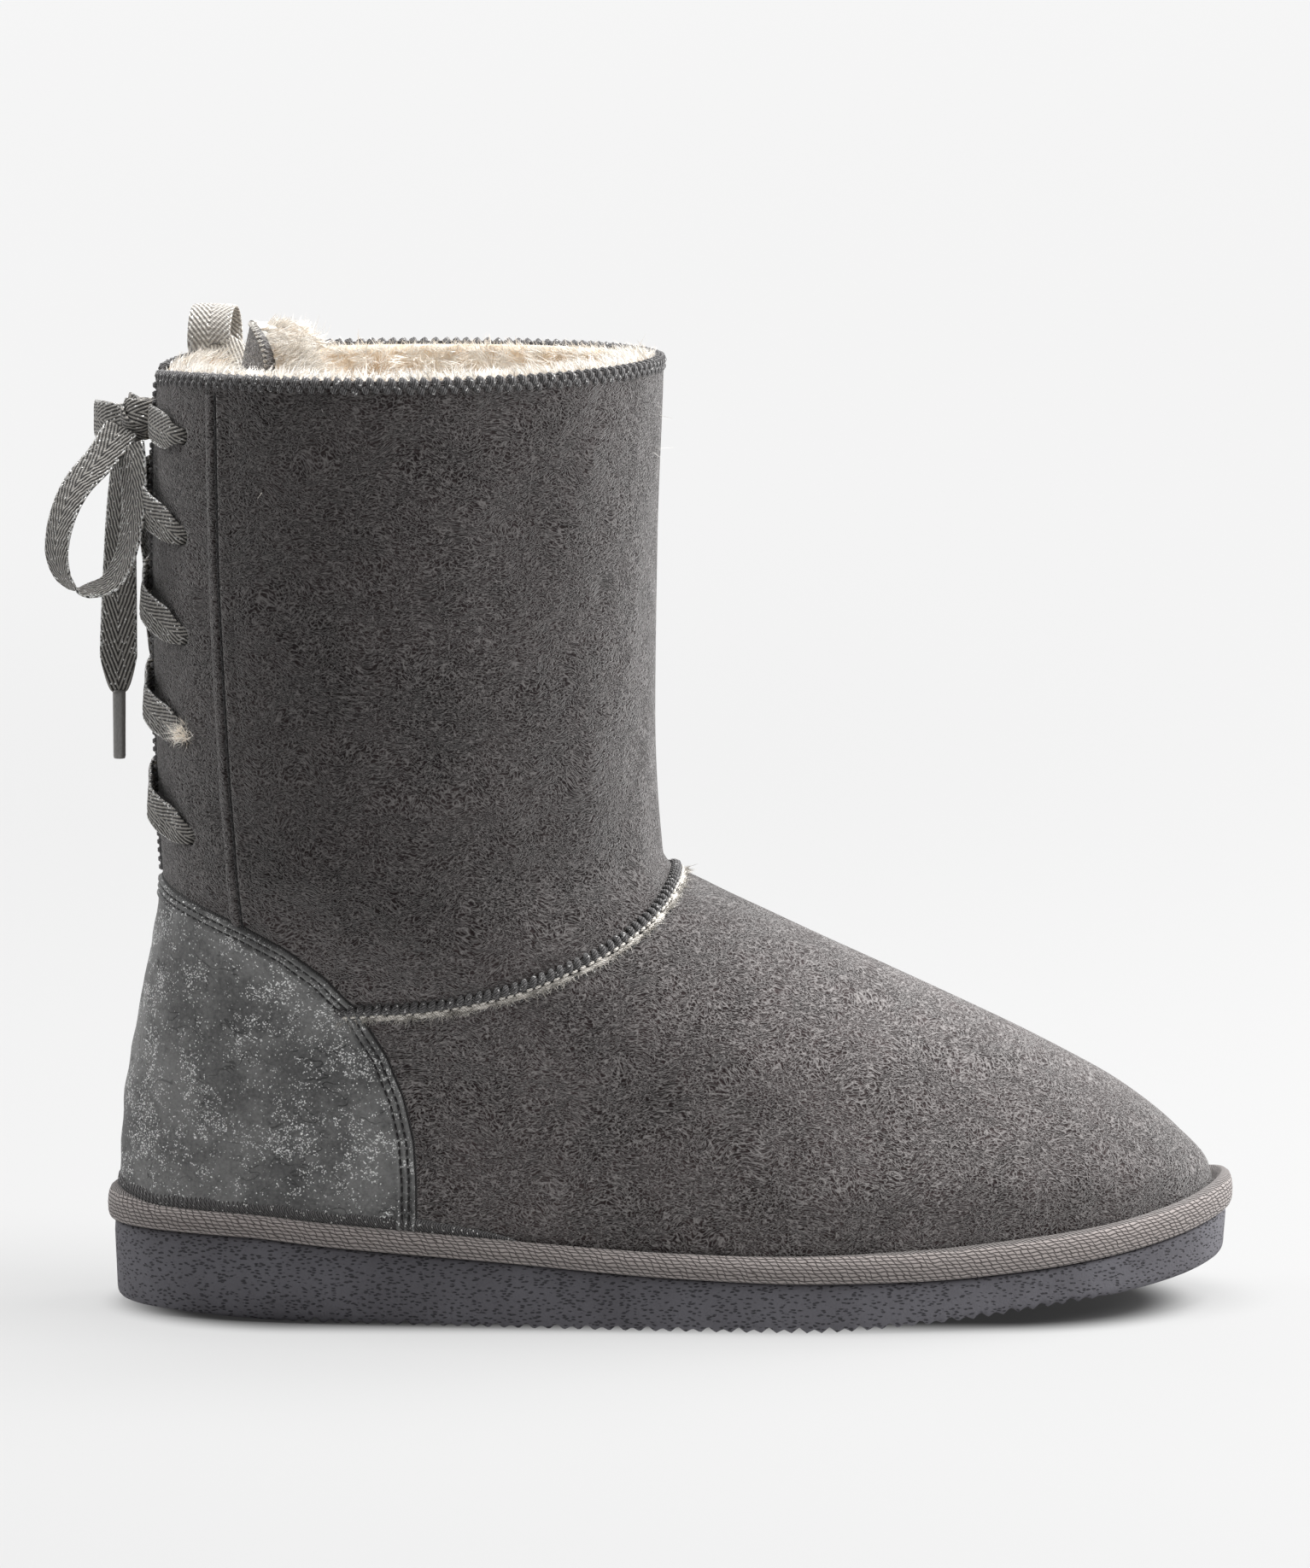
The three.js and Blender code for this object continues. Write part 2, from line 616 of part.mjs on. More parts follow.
function makeCrossing(row) {
  const z = eyeletHeights[row];
  const share = (z - slitFoot) / (collarHeight - slitFoot);
  const slitHalf = (slitFootWidth + (slitTopWidth - slitFootWidth) * share) / 2;
  const beyond = slitHalf - laceEdgeRoom;
  const endZ = z + (eyeletPitch * (eyeletReach + beyond)) / (2 * eyeletReach);
  return laceStrand(1, z, -beyond, endZ, strandLine).add(laceStrand(-1, z, beyond, endZ, strandLine));
}

const makeTopStrand = (side) =>
  laceStrand(side, eyeletHeights[eyeletRows - 1], side * (knotWidth / 2 + knotRoom), knotHeightAt, topStrandLine);

function makeKnot() {
  const geometry = new THREE.SphereGeometry(0.5, knotSides, knotRings).rotateX(Math.PI / 2);
  geometry.scale(knotDepth, knotWidth, knotHeight);
  return solidOf(geometry.translate(shaftBack - knotStandoff, 0, knotHeightAt));
}

// Bow and ends: routes chosen by hand, with the way that the tape's width lies at its start, middle and end.
const nearLoopRoute = [
  [-135.4, -3.5, 218.5],
  [-140.2, -7.5, 211.5],
  [-146.4, -10, 205.3],
  [-151, -11.5, 199.3],
  [-153.6, -12.5, 192.6],
  [-153.6, -13, 186.6],
  [-151.2, -13.5, 181],
  [-147, -14, 178],
  [-142.2, -14, 178.2],
  [-137.8, -14, 181.5],
  [-134.6, -13.8, 187],
  [-132.8, -13.2, 194],
  [-132, -12.2, 202],
  [-132.4, -10.5, 209],
  [-133.2, -8, 214.5],
];
const nearLoopAcross = [[0.35, -0.6, -0.7], [0.6, -0.75, -0.25], [0.55, -0.8, 0], [0.75, -0.6, 0.2]];
const farLoopRoute = [
  [-135.6, 2.5, 219],
  [-139.5, 6.5, 219.3],
  [-142.2, 14, 219],
  [-142.6, 24, 218],
  [-140.8, 33, 216.6],
  [-137, 37.5, 215.6],
  [-133.2, 34.5, 215.4],
  [-131.4, 26, 217.2],
  [-132.2, 17, 219.5],
  [-134, 9.5, 221.4],
];
const farLoopAcross = [[0, 0.1, 1], [0, 0.1, 1], [0, 0.1, 1]];
const nearEndRoute = [
  [-134.5, -1.5, 214.2],
  [-135.6, -3.2, 207],
  [-136.4, -4.2, 197],
  [-137, -5, 186],
  [-137.4, -5.6, 175],
  [-137.6, -6, 165],
  [-137.6, -6.2, 156.6],
];
const nearEndAcross = [[0.6, -0.8, 0], [0.85, -0.5, 0], [1, -0.1, 0], [1, 0, 0]];
const farEndRoute = [
  [-131.6, 2.6, 215.1],
  [-132.6, 8, 206.5],
  [-131.8, 12.5, 198.5],
  [-130.4, 17, 190],
  [-129.2, 20, 180],
  [-128.6, 21.5, 168.8],
  [-128.4, 22, 158.6],
];
const farEndAcross = [[0.1, 0.95, 0.3], [0.3, 0.9, 0.1], [0.45, 0.9, 0]];

function makeAglet(route) {
  const [x, y, z] = route[route.length - 1];
  const geometry = new THREE.CylinderGeometry(agletRadius, agletRadius, agletLength, 8).rotateX(Math.PI / 2);
  return solidOf(geometry.translate(x, y, z - gap - agletLength / 2));
}

// Materials
const finish = (color, roughness, metalness = 0) =>
  new THREE.MeshStandardMaterial({ color, roughness, metalness });
const suede = finish("#57524f", 0.95);
const glitterLeather = finish("#646463", 0.6, 0.3);
const stitching = finish("#454443", 0.9);
const weltTape = finish("#857d7a", 0.9);
const foamSole = finish("#504e52", 0.8);
const fur = finish("#efe3cf", 1);
const laceTape = finish("#7a7875", 0.6, 0.2);
const paleTape = finish("#b9b4ab", 0.7, 0.1);
const clearTip = finish("#6e6c6a", 0.3);

const pieces = [
  ["outsole", makeOutsole(), foamSole],
  ["insole", makeInsole(), fur],
  ["welt", makeWelt(), weltTape],
  ["upper", makeUpper(), suede],
  ["fur_lining", makeLining(), fur],
  ["heel_counter", makeCounter(), glitterLeather],
  ["instep_seam", makeSeam(), stitching],
  ["collar_binding", makeBinding(), stitching],
  ["back_tongue", makeTongue(), suede],
  ["pull_loop", makePullLoop(), paleTape],
  ...eyeletHeights.slice(0, -1).map((_, row) => [`lace_crossing_${row + 1}`, makeCrossing(row), laceTape]),
  ["lace_top_near", makeTopStrand(1), laceTape],
  ["lace_top_far", makeTopStrand(-1), laceTape],
  ["bow_knot", makeKnot(), laceTape],
  ["bow_loop_near", freeTape(nearLoopRoute, nearLoopAcross, 26), laceTape],
  ["bow_loop_far", freeTape(farLoopRoute, farLoopAcross, 20), laceTape],
  ["lace_end_near", freeTape(nearEndRoute, nearEndAcross, 12), laceTape],
  ["lace_end_far", freeTape(farEndRoute, farEndAcross, 11), laceTape],
  ["aglet_near", makeAglet(nearEndRoute), clearTip],
  ["aglet_far", makeAglet(farEndRoute), clearTip],
];

const boot = new THREE.Group();
for (const [name, solid, material] of pieces) {
  const made = solid.getMesh();
  const geometry = new THREE.BufferGeometry();
  geometry.setAttribute("position", new THREE.BufferAttribute(made.vertProperties, 3));
  geometry.setIndex(new THREE.BufferAttribute(made.triVerts, 1));
  geometry.computeVertexNormals();
  const mesh = new THREE.Mesh(geometry, material);
  mesh.name = name;
  boot.add(mesh);
}

export default boot;
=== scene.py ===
# A fur-lined boot for the right foot, laced down its back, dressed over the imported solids.
# Shapes are worked out in millimetres and become metres when a piece is made. +Z is up, the toe is towards +X and the
# outer side of the foot towards -Y.
import math

import bpy
import numpy as np
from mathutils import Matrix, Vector


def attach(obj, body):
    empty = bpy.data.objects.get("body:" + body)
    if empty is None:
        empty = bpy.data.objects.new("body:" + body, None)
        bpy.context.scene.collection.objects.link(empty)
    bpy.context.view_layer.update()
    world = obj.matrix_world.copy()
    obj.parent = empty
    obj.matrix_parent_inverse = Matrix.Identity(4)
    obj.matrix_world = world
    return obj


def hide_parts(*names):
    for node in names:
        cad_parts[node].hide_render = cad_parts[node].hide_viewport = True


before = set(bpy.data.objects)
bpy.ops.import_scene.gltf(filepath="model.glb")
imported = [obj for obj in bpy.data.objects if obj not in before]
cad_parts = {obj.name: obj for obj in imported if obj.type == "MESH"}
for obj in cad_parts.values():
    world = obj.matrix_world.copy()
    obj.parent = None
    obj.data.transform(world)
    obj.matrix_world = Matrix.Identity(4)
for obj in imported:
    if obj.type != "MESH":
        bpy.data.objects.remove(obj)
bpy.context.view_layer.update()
mm = 0.001
tau = 2 * math.pi
rng = np.random.default_rng(41)
scene = bpy.context.scene
print("stage: frame loaded")


def looking(at, aim):
    return (Vector(aim) - Vector(at)).to_track_quat("-Z", "Y").to_euler()


# Camera: a long lens at the outer side, a little above the boot
camera = {"from": (-4, -3000, 524), "aim": (-4, 0, 129.5), "lens": 280.6}
lens = bpy.data.cameras.new("camera")
lens.lens = camera["lens"]
lens.clip_end = 30
view = bpy.data.objects.new("camera", lens)
view.location = Vector(camera["from"]) * mm
view.rotation_euler = looking(camera["from"], camera["aim"])
scene.collection.objects.link(view)
scene.camera = view


# Shader maths
def operator(operation, flipped=False):
    def apply(self, other=0.0):
        first, second = (other, self) if flipped else (self, other)
        return self.finish.node("ShaderNodeMath", {"operation": operation}, {0: first, 1: second})

    return apply


class Value:  # one socket, with arithmetic that adds Math nodes
    __add__, __radd__ = operator("ADD"), operator("ADD", True)
    __sub__, __rsub__ = operator("SUBTRACT"), operator("SUBTRACT", True)
    __mul__, __rmul__ = operator("MULTIPLY"), operator("MULTIPLY", True)
    __truediv__, __pow__, __gt__ = operator("DIVIDE"), operator("POWER"), operator("GREATER_THAN")
    __abs__, part, whole = operator("ABSOLUTE"), operator("FRACT"), operator("FLOOR")
    wave, atLeast = operator("SINE"), operator("MAXIMUM")

    def __init__(self, finish, socket):
        self.finish = finish
        self.socket = socket

    def ramp(self, low, high):  # 0 at low, 1 at high, smooth between
        return self.finish.node(
            "ShaderNodeMapRange",
            {"interpolation_type": "SMOOTHSTEP"},
            {"Value": self, "From Min": low, "From Max": high, "To Min": 0.0, "To Max": 1.0},
        )


def stripes(along, pitch):
    return (along * (tau / pitch)).wave() * 0.5 + 0.5


def hump(share, edge):  # 1 over the middle of a cell, 0 at both of its ends
    return share.ramp(0.0, edge) * (1 - share.ramp(1 - edge, 1.0))


def ridges(noise):  # thin lines where soft noise crosses its middle
    return 1 - abs(noise * 2 - 1)


class Finish:  # one material
    def __init__(self, name, constants):
        self.material = bpy.data.materials.new(name)
        self.material.use_nodes = True
        self.tree = self.material.node_tree
        self.shader = self.tree.nodes["Principled BSDF"]
        for socket, value in constants.items():
            self.shader.inputs[socket].default_value = value

    def node(self, kind, settings=None, inputs=None, out=0):
        made = self.tree.nodes.new(kind)
        for name, value in (settings or {}).items():
            setattr(made, name, value)
        for key, value in (inputs or {}).items():
            if isinstance(value, Value):
                self.tree.links.new(value.socket, made.inputs[key])
            else:
                made.inputs[key].default_value = value
        return Value(self, made.outputs[out])

    def place(self, kind="Object"):  # places in millimetres, on the object or on its flat pattern
        return self.scaled(self.node("ShaderNodeTexCoord", out=kind), 1 / mm)

    def vector(self, operation, a, b):
        return self.node("ShaderNodeVectorMath", {"operation": operation}, {0: a, 1: b})

    def scaled(self, a, by):  # a place or a colour times a value
        return self.node("ShaderNodeVectorMath", {"operation": "SCALE"}, {0: a, "Scale": by})

    def axes(self, place):
        made = self.node("ShaderNodeSeparateXYZ", None, {0: place})
        return [Value(self, socket) for socket in made.socket.node.outputs]

    def noise(self, place, size, detail=2.0, roughness=0.5, out="Fac"):  # size: of one lump, in mm
        inputs = {"Vector": place, "Scale": 1 / size, "Detail": detail, "Roughness": roughness}
        return self.node("ShaderNodeTexNoise", {"noise_type": "FBM", "normalize": True}, inputs, out)

    def cells(self, place, size, out="Distance"):
        return self.node("ShaderNodeTexVoronoi", {"feature": "F1"}, {"Vector": place, "Scale": 1 / size}, out)

    def warp(self, place, size, reach):  # places pushed about by soft noise
        push = self.vector("SUBTRACT", self.noise(place, size, 1.0, out="Color"), (0.5, 0.5, 0.5))
        return self.vector("ADD", place, self.scaled(push, reach))

    def stretched(self, place, by):
        return self.vector("MULTIPLY", place, by)

    def mix(self, factor, a, b):
        return self.node("ShaderNodeMix", {"data_type": "RGBA"}, {0: factor, 6: a, 7: b}, 2)

    def feed(self, colour=None, height=None, depth=0.2, strength=1.0, roughness=None, metallic=None, glow=None):
        links = {"Base Color": colour, "Roughness": roughness, "Metallic": metallic, "Emission Color": glow}
        if height is not None:
            bump = {"Strength": strength, "Distance": depth * mm, "Height": height}
            links["Normal"] = self.node("ShaderNodeBump", None, bump)
        for socket, value in links.items():
            if value is not None:
                self.tree.links.new(value.socket, self.shader.inputs[socket])
        return self.material


def ink(red, green, blue):  # a colour as seen on screen
    def line(c):
        c /= 255
        return c / 12.92 if c <= 0.04045 else ((c + 0.055) / 1.055) ** 2.4

    return (line(red), line(green), line(blue), 1.0)


# The boot's own sizes, as in its solids
boot = {
    "length": 280, "width": 104, "instep": 109, "collar": 236, "shaftDepth": 125.5, "shaftWidth": 106,
    "shaftSetback": 11.7, "toeSetback": 3.8, "heelSetback": 2.8, "swing": 9, "wall": 2, "pile": 5.7, "gap": 0.3,
    "heelRim": 21, "toeSpring": 12, "weltHeight": 11, "weltOverhang": 1.7, "collarRise": 1.6, "insole": 4,
    "rimUnder": 1.7, "backDip": 2.4, "backDipRun": 9,
}
halfLength = boot["length"] / 2
shaftBack = -halfLength + boot["shaftSetback"]
shaftFront = shaftBack + boot["shaftDepth"]
footBack = -halfLength + boot["heelSetback"]
footFront = halfLength - boot["toeSetback"]
soleHalf = halfLength - boot["weltOverhang"]
shaftHeight = boot["collar"] - boot["instep"]

# The upper in level slices: see the shares of length, width and fullness at each level
sliceNames = ["level", "toe", "heel", "foot", "back", "rear", "middle", "fore", "front"]
sliceRows = [
    (-0.2, 1, 1, 1, 1.135, 0.76, 0.785, 1.03, 1.17),
    (0.18, 1, 1, 1, 1.135, 0.762, 0.787, 1.032, 1.172),
    (0.3, 0.985, 0.93, 1, 1.135, 0.788, 0.813, 1.05, 1.19),
    (0.389, 0.926, 0.88, 1, 1.115, 0.779, 0.813, 1, 1.17),
    (0.488, 0.83, 0.8, 1, 1.096, 0.788, 0.813, 0.93, 1.04),
    (0.587, 0.696, 0.6, 1, 1.077, 0.808, 0.827, 0.894, 0.92),
    (0.735, 0.464, 0.27, 0.9, 1.04, 0.846, 0.865, 0.856, 0.8),
    (0.883, 0.217, -0.08, 0.6, 1.015, 0.92, 0.905, 0.86, 0.8),
    (0.982, 0.058, -0.21, 0.35, 1.01, 0.96, 0.945, 0.91, 0.88),
    (1.03, 0.006, -0.17, 0.2, 1.005, 0.98, 0.965, 0.95, 0.95),
    (1.3, -0.008, -0.05, 0, 1, 0.99, 0.98, 0.98, 0.99),
    (1.65, -0.004, 0.02, 0, 1, 0.99, 0.985, 0.985, 1),
    (2, 0.007, 0, 0, 1.01, 1, 1, 1, 1.01),
    (2.25, 0.009, 0, 0, 1.01, 1, 1, 1, 1.01),
]

# The sole from the side: share of its length, then its underside, top and welt as shares of their own sizes
soleNames = ["at", "floor", "rim", "welt"]
soleRows = [
    (0.0, 0.15, 1.0, 0.85), (0.05, 0.125, 1.01, 0.55), (0.12, 0.06, 0.996, 0.53), (0.2, 0, 0.91, 0.53),
    (0.35, 0, 0.782, 0.51), (0.5, 0, 0.64, 0.56), (0.62, 0, 0.585, 0.63), (0.71, 0.115, 0.6, 0.7),
    (0.81, 0.34, 0.672, 0.74), (0.885, 0.52, 0.77, 0.73), (0.95, 0.73, 0.92, 0.75), (1.0, 1.0, 1.1, 0.85),
]
solePlan = [1.19, 0.817, 0.842, 1.096, 1.23]
swingPlan = [0, -0.2, -0.49, 0.29, 1]


def smoothCurve(at, value):  # through the points, never swinging past them
    at, value = np.array(at, float), np.array(value, float)
    rise = np.diff(value) / np.diff(at)
    product = rise[:-1] * rise[1:]
    total = np.where(product > 0, rise[:-1] + rise[1:], 1)
    slope = np.concatenate([rise[:1], np.where(product > 0, 2 * product / total, 0), rise[-1:]])

    def curve(x):
        x = np.clip(np.asarray(x, float), at[0], at[-1])
        i = np.clip(np.searchsorted(at, x, side="right") - 1, 0, len(at) - 2)
        span = at[i + 1] - at[i]
        t = (x - at[i]) / span
        level = value[i] * (1 + 2 * t) * (1 - t) ** 2 + value[i + 1] * t * t * (3 - 2 * t)
        return level + span * (slope[i] * t * (1 - t) ** 2 - slope[i + 1] * t * t * (1 - t))

    return curve


def columns(names, rows):
    table = np.array(rows, float)
    return {name: smoothCurve(table[:, 0], table[:, i]) for i, name in enumerate(names)}


def through5(values, share):  # the quartic through five values a quarter apart
    t = np.asarray(share, float) * 4
    total = 0
    for i, value in enumerate(values):
        weight = 1.0
        for j in range(5):
            if j != i:
                weight = weight * (t - j) / (i - j)
        total = total + value * weight
    return total


slices = columns(sliceNames, sliceRows)
sole = columns(soleNames, soleRows)


def lengthShare(x):
    return np.asarray(x, float) / boot["length"] + 0.5


def soleFloor(x):
    return boot["toeSpring"] * sole["floor"](lengthShare(x))


def soleRim(x):
    return boot["heelRim"] * sole["rim"](lengthShare(x))


def weltRise(x):
    return boot["weltHeight"] * sole["welt"](lengthShare(x))


def swing(x):
    return boot["swing"] * through5(swingPlan, np.clip(lengthShare(x), 0, 1))


def collarLine(x):
    share = (np.asarray(x, float) - shaftBack) / boot["shaftDepth"]
    return boot["collar"] + boot["collarRise"] * (share * share + 0.4 * (1 - share) ** 2 - 0.1)


def rimLine(x):  # the visible top of the collar, dipped at the back
    past = np.maximum(np.asarray(x, float) - shaftBack, 0)
    return collarLine(x) - boot["rimUnder"] - boot["backDip"] * np.exp(-past / boot["backDipRun"])


def heightOf(level):
    level = np.asarray(level, float)
    return np.where(level <= 1, level * boot["instep"], boot["instep"] + (level - 1) * shaftHeight)


def levelOf(z):
    z = np.asarray(z, float)
    return np.where(z <= boot["instep"], z / boot["instep"], 1 + (z - boot["instep"]) / shaftHeight)


def spread(*values):  # as arrays of one shape
    return np.broadcast_arrays(*(np.asarray(v, float) for v in values))


def unit(v):
    return v / np.maximum(np.linalg.norm(v, axis=-1, keepdims=True), 1e-9)


def ovalPoint(turn, back, front, fullness, half, bend):  # turn: 0 at the heel, over the outer side to pi at the toe
    share = (1 - np.cos(turn)) / 2
    x = back + (front - back) * share
    return x, bend * swing(x) - half * through5(fullness, share) * np.sin(turn)


def sliceEnds(level):
    back = shaftBack + slices["heel"](level) * (footBack - shaftBack)
    front = shaftFront + slices["toe"](level) * (footFront - shaftFront)
    return back, front


def upperPoint(turn, level):
    turn, level = spread(turn, level)
    back, front = sliceEnds(level)
    foot = slices["foot"](level)
    half = (foot * boot["width"] + (1 - foot) * boot["shaftWidth"]) / 2
    fullness = [slices[name](level) for name in sliceNames[4:]]
    x, y = ovalPoint(turn, back, front, fullness, half, foot)
    return np.stack([x, y, heightOf(level)], -1)


# The instep seam: shares of the shaft's depth and of the instep's height
seamRows = [
    (0.36, 0.71), (0.525, 0.727), (0.615, 0.746), (0.707, 0.773), (0.797, 0.811), (0.889, 0.858), (0.957, 0.904),
    (1.005, 0.948), (1.035, 0.99), (1.06, 1.03),
]

# Soft troughs and ridges of the worn-in suede. at and up: their middle from the side. slant: degrees up from level.
# run and wide: how far they reach along and across. deep: inwards. side: -1 outer, 1 inner, 0 both.
folds = [
    (-38, 196, 84, 34, 9, 0.9, -1), (-62, 150, 70, 40, 12, 0.5, -1), (-15, 150, 80, 36, 8, -0.5, -1),
    (-30, 118, 20, 26, 7, 0.6, -1), (-86, 112, -25, 22, 7, 0.6, -1), (22, 74, -40, 22, 7, 0.5, 0),
    (58, 50, 62, 20, 8, 0.5, -1), (-20, 55, 12, 30, 9, 0.6, -1), (92, 40, 70, 14, 8, 0.4, 0),
    (-50, 180, 88, 40, 12, 0.7, 1), (-28, 116, 15, 30, 8, 0.7, 1), (30, 52, 50, 24, 9, 0.5, 1),
    (-131, 78, 82, 62, 11, 0.6, 0), (-131, 234, 88, 16, 9, 1.2, 0),
]
sideBlend = 18
seamDip = {"deep": 0.9, "wide": 3.6}


def foldDepth(p):
    total = np.zeros(p.shape[:-1])
    sideways = np.tanh(p[..., 1] / sideBlend)
    for at, up, slant, run, wide, deep, side in folds:
        a = math.radians(slant)
        dx, dz = p[..., 0] - at, p[..., 2] - up
        along = (dx * math.cos(a) + dz * math.sin(a)) / run
        across = (dz * math.cos(a) - dx * math.sin(a)) / wide
        weight = 1 if side == 0 else np.clip(side * sideways, 0, 1)
        total += deep * weight * np.exp(-(along**2) - across**2)
    line = np.array(seamRows) * (boot["shaftDepth"], boot["instep"]) + (shaftBack, 0)
    line = np.stack([np.interp(np.linspace(0, 9, 60), range(10), line[:, i]) for i in range(2)], -1)
    away = np.full(p.shape[:-1], 99.0)
    for x, z in line:
        away = np.minimum(away, np.hypot(p[..., 0] - x, p[..., 2] - z))
    return total + seamDip["deep"] * np.exp(-((away / seamDip["wide"]) ** 2))


def surface(turn, level):  # a point of the upper and the way out of it
    step = 0.002
    along = upperPoint(turn + step, level) - upperPoint(turn - step, level)
    up = upperPoint(turn, level + step) - upperPoint(turn, level - step)
    return upperPoint(turn, level), unit(np.cross(along, up))


def skinAt(turn, level, out=0.0):  # the upper set out by a distance, folds and all
    turn, level, out = spread(turn, level, out)
    p, normal = surface(turn, level)
    return p + normal * (out - foldDepth(p))[..., None]


def skinUp(turn, z, out=0.0):  # the same by height instead of level
    return skinAt(turn, levelOf(z), out)


def outwardUp(turn, z):
    return unit(skinUp(turn, z, 1) - skinUp(turn, z))


def turnAt(across):  # where the shaft's wall stands that far out from the middle of its back, inner side negative
    return np.arcsin(2 * np.asarray(across, float) / boot["shaftWidth"])


def turnFor(x, z):  # where the outer wall is at that place seen from the side
    back, front = sliceEnds(levelOf(z))
    return np.arccos(np.clip(1 - 2 * (x - back) / (front - back), -1, 1))


def bothSides(turn, z, middle):  # a line over the outer side and on over the inner side, mirrored at its middle
    return np.concatenate([turn, 2 * middle - turn[-2::-1]]), np.concatenate([z, z[-2::-1]])


def soleAt(turn, out):
    def outline(t):
        return np.stack(ovalPoint(t, -soleHalf, soleHalf, solePlan, boot["width"] / 2, 1), -1)

    along = unit(outline(turn + 0.002) - outline(turn - 0.002))
    return outline(turn) + np.stack([along[..., 1], -along[..., 0]], -1) * np.asarray(out, float)[..., None]


# Mesh making
def runOf(points, axis=0):  # length along lines of points
    run = np.cumsum(np.linalg.norm(np.diff(points, axis=axis), axis=-1), axis)
    return np.concatenate([np.take(run, [0], axis) * 0, run], axis)


def ringRun(points, gap):  # the same right round, with the gap from the last point to the first
    run = runOf(points)
    return np.append(run, run[-1] + gap)


def evenly(points, count):  # the same line with even steps
    run = runOf(points)
    at = np.linspace(0, run[-1], count)
    return np.stack([np.interp(at, run, column) for column in points.T], -1)


def spaced(points, step):
    return evenly(points, max(2, int(round(runOf(points)[-1] / step)) + 1))


def softened(line, times):  # with its corners rounded
    for _ in range(times):
        line[1:-1] = (line[:-2] + 2 * line[1:-1] + line[2:]) / 4
    return line


def pairs(a, b):  # flat places from two arrays that fill each other out
    return np.stack(spread(a, b), -1)


def patternOf(points):  # flat places: how far round and how far up, by the points' own spacing
    return np.stack([runOf(points, 1), runOf(points)], -1)


def cornersOf(r, c, ahead, width):  # of each face of a grid
    return np.stack([r * width + c, r * width + ahead, (r + 1) * width + ahead, (r + 1) * width + c], -1)


class Build:  # gathers grids of points into one mesh, each corner with a flat place in millimetres
    def __init__(self):
        self.points, self.quads, self.places = [], [], []
        self.count = 0

    def grid(self, points, places, wrap=False, flip=False, keep=None):
        # points: (..., rows, columns, 3). places: the same with one more column where the grid wraps round.
        rows, cols = points.shape[-3:-1]
        width = cols + wrap
        sheets = points.reshape(-1, rows, cols, 3)
        flat = np.broadcast_to(places, points.shape[:-3] + (rows, width, 2)).reshape(-1, rows * width, 2)
        r, c = np.indices((rows - 1, width - 1)).reshape(2, -1)
        if keep is not None:
            r, c = r[keep.ravel()], c[keep.ravel()]
        quad, corner = cornersOf(r, c, (c + 1) % cols, cols), cornersOf(r, c, c + 1, width)
        if flip:
            quad, corner = quad[:, ::-1], corner[:, ::-1]
        starts = self.count + np.arange(len(sheets)) * rows * cols
        self.points.append(sheets.reshape(-1, 3))
        self.quad((quad[None] + starts[:, None, None]).reshape(-1, 4), flat[:, corner])
        self.count += len(sheets) * rows * cols
        return starts[0]

    def quad(self, corners, places):  # faces between points that are already there
        self.quads.append(np.asarray(corners))
        self.places.append(np.asarray(places, float).reshape(-1, 2))

    def slab(self, outer, inner, places, keep=None):
        # two equal sheets, one behind the other, joined along every edge that has a face on one side only
        rows, cols = outer.shape[:2]
        if keep is None:
            keep = np.ones((rows - 1, cols - 1), bool)
        first = self.grid(outer, places, keep=keep)
        behind = self.grid(inner, places, keep=keep, flip=True)
        r, c = np.nonzero(keep)
        corners = cornersOf(r, c, c + 1, cols)
        edges = np.concatenate([corners[:, [k, (k + 1) % 4]] for k in range(4)])
        key = np.sort(edges, 1)
        _, index, counts = np.unique(key[:, 0] * rows * cols + key[:, 1], return_index=True, return_counts=True)
        a, b = edges[index[counts == 1]].T
        rim = np.stack([b + first, a + first, a + behind, b + behind], -1)
        self.quad(rim, places.reshape(-1, 2)[np.stack([b, a, a, b], -1)])

    def piece(self, name, finish, slot, replaces=None):
        points = np.concatenate(self.points) * mm
        quads = np.concatenate(self.quads)
        used = np.unique(quads)
        index = np.zeros(len(points), int)
        index[used] = np.arange(len(used))
        mesh = bpy.data.meshes.new(name)
        mesh.from_pydata(points[used], [], index[quads])
        mesh.uv_layers.new(name="pattern").data.foreach_set("uv", (np.concatenate(self.places) * mm).ravel())
        mesh.polygons.foreach_set("use_smooth", np.full(len(quads), True))
        mesh.update()
        mesh.materials.append(finishes[finish])
        made = bpy.data.objects.new(name, mesh)
        scene.collection.objects.link(made)
        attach(made, "root")
        if replaces:
            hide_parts(replaces)
        return made


class Rail:  # a line on the boot, with places along it, up from it and out of the surface
    def __init__(self, points, normals):
        self.run = runOf(points)
        self.length = self.run[-1]
        ahead = unit(np.gradient(points, self.run, axis=0))
        side = unit(np.cross(normals, ahead))
        self.table = np.hstack([points, side, unit(normals)])

    def at(self, along, up=0.0, out=0.0):
        along, up, out = spread(along, up, out)
        row = np.stack([np.interp(along, self.run, self.table[:, i]) for i in range(9)], -1)
        return row[..., :3] + row[..., 3:6] * up[..., None] + row[..., 6:] * out[..., None]

    def outward(self, along):
        return self.at(along, 0, 1) - self.at(along, 0, 0)

    def facing(self, row, axis):  # 1 where up along the rail goes with that axis, -1 where it goes against it
        return 1 if self.table[row, 3 + axis] > 0 else -1


def railUp(turn, z):
    points = skinUp(turn, z)
    return Rail(points, skinUp(turn, z, 1) - points)


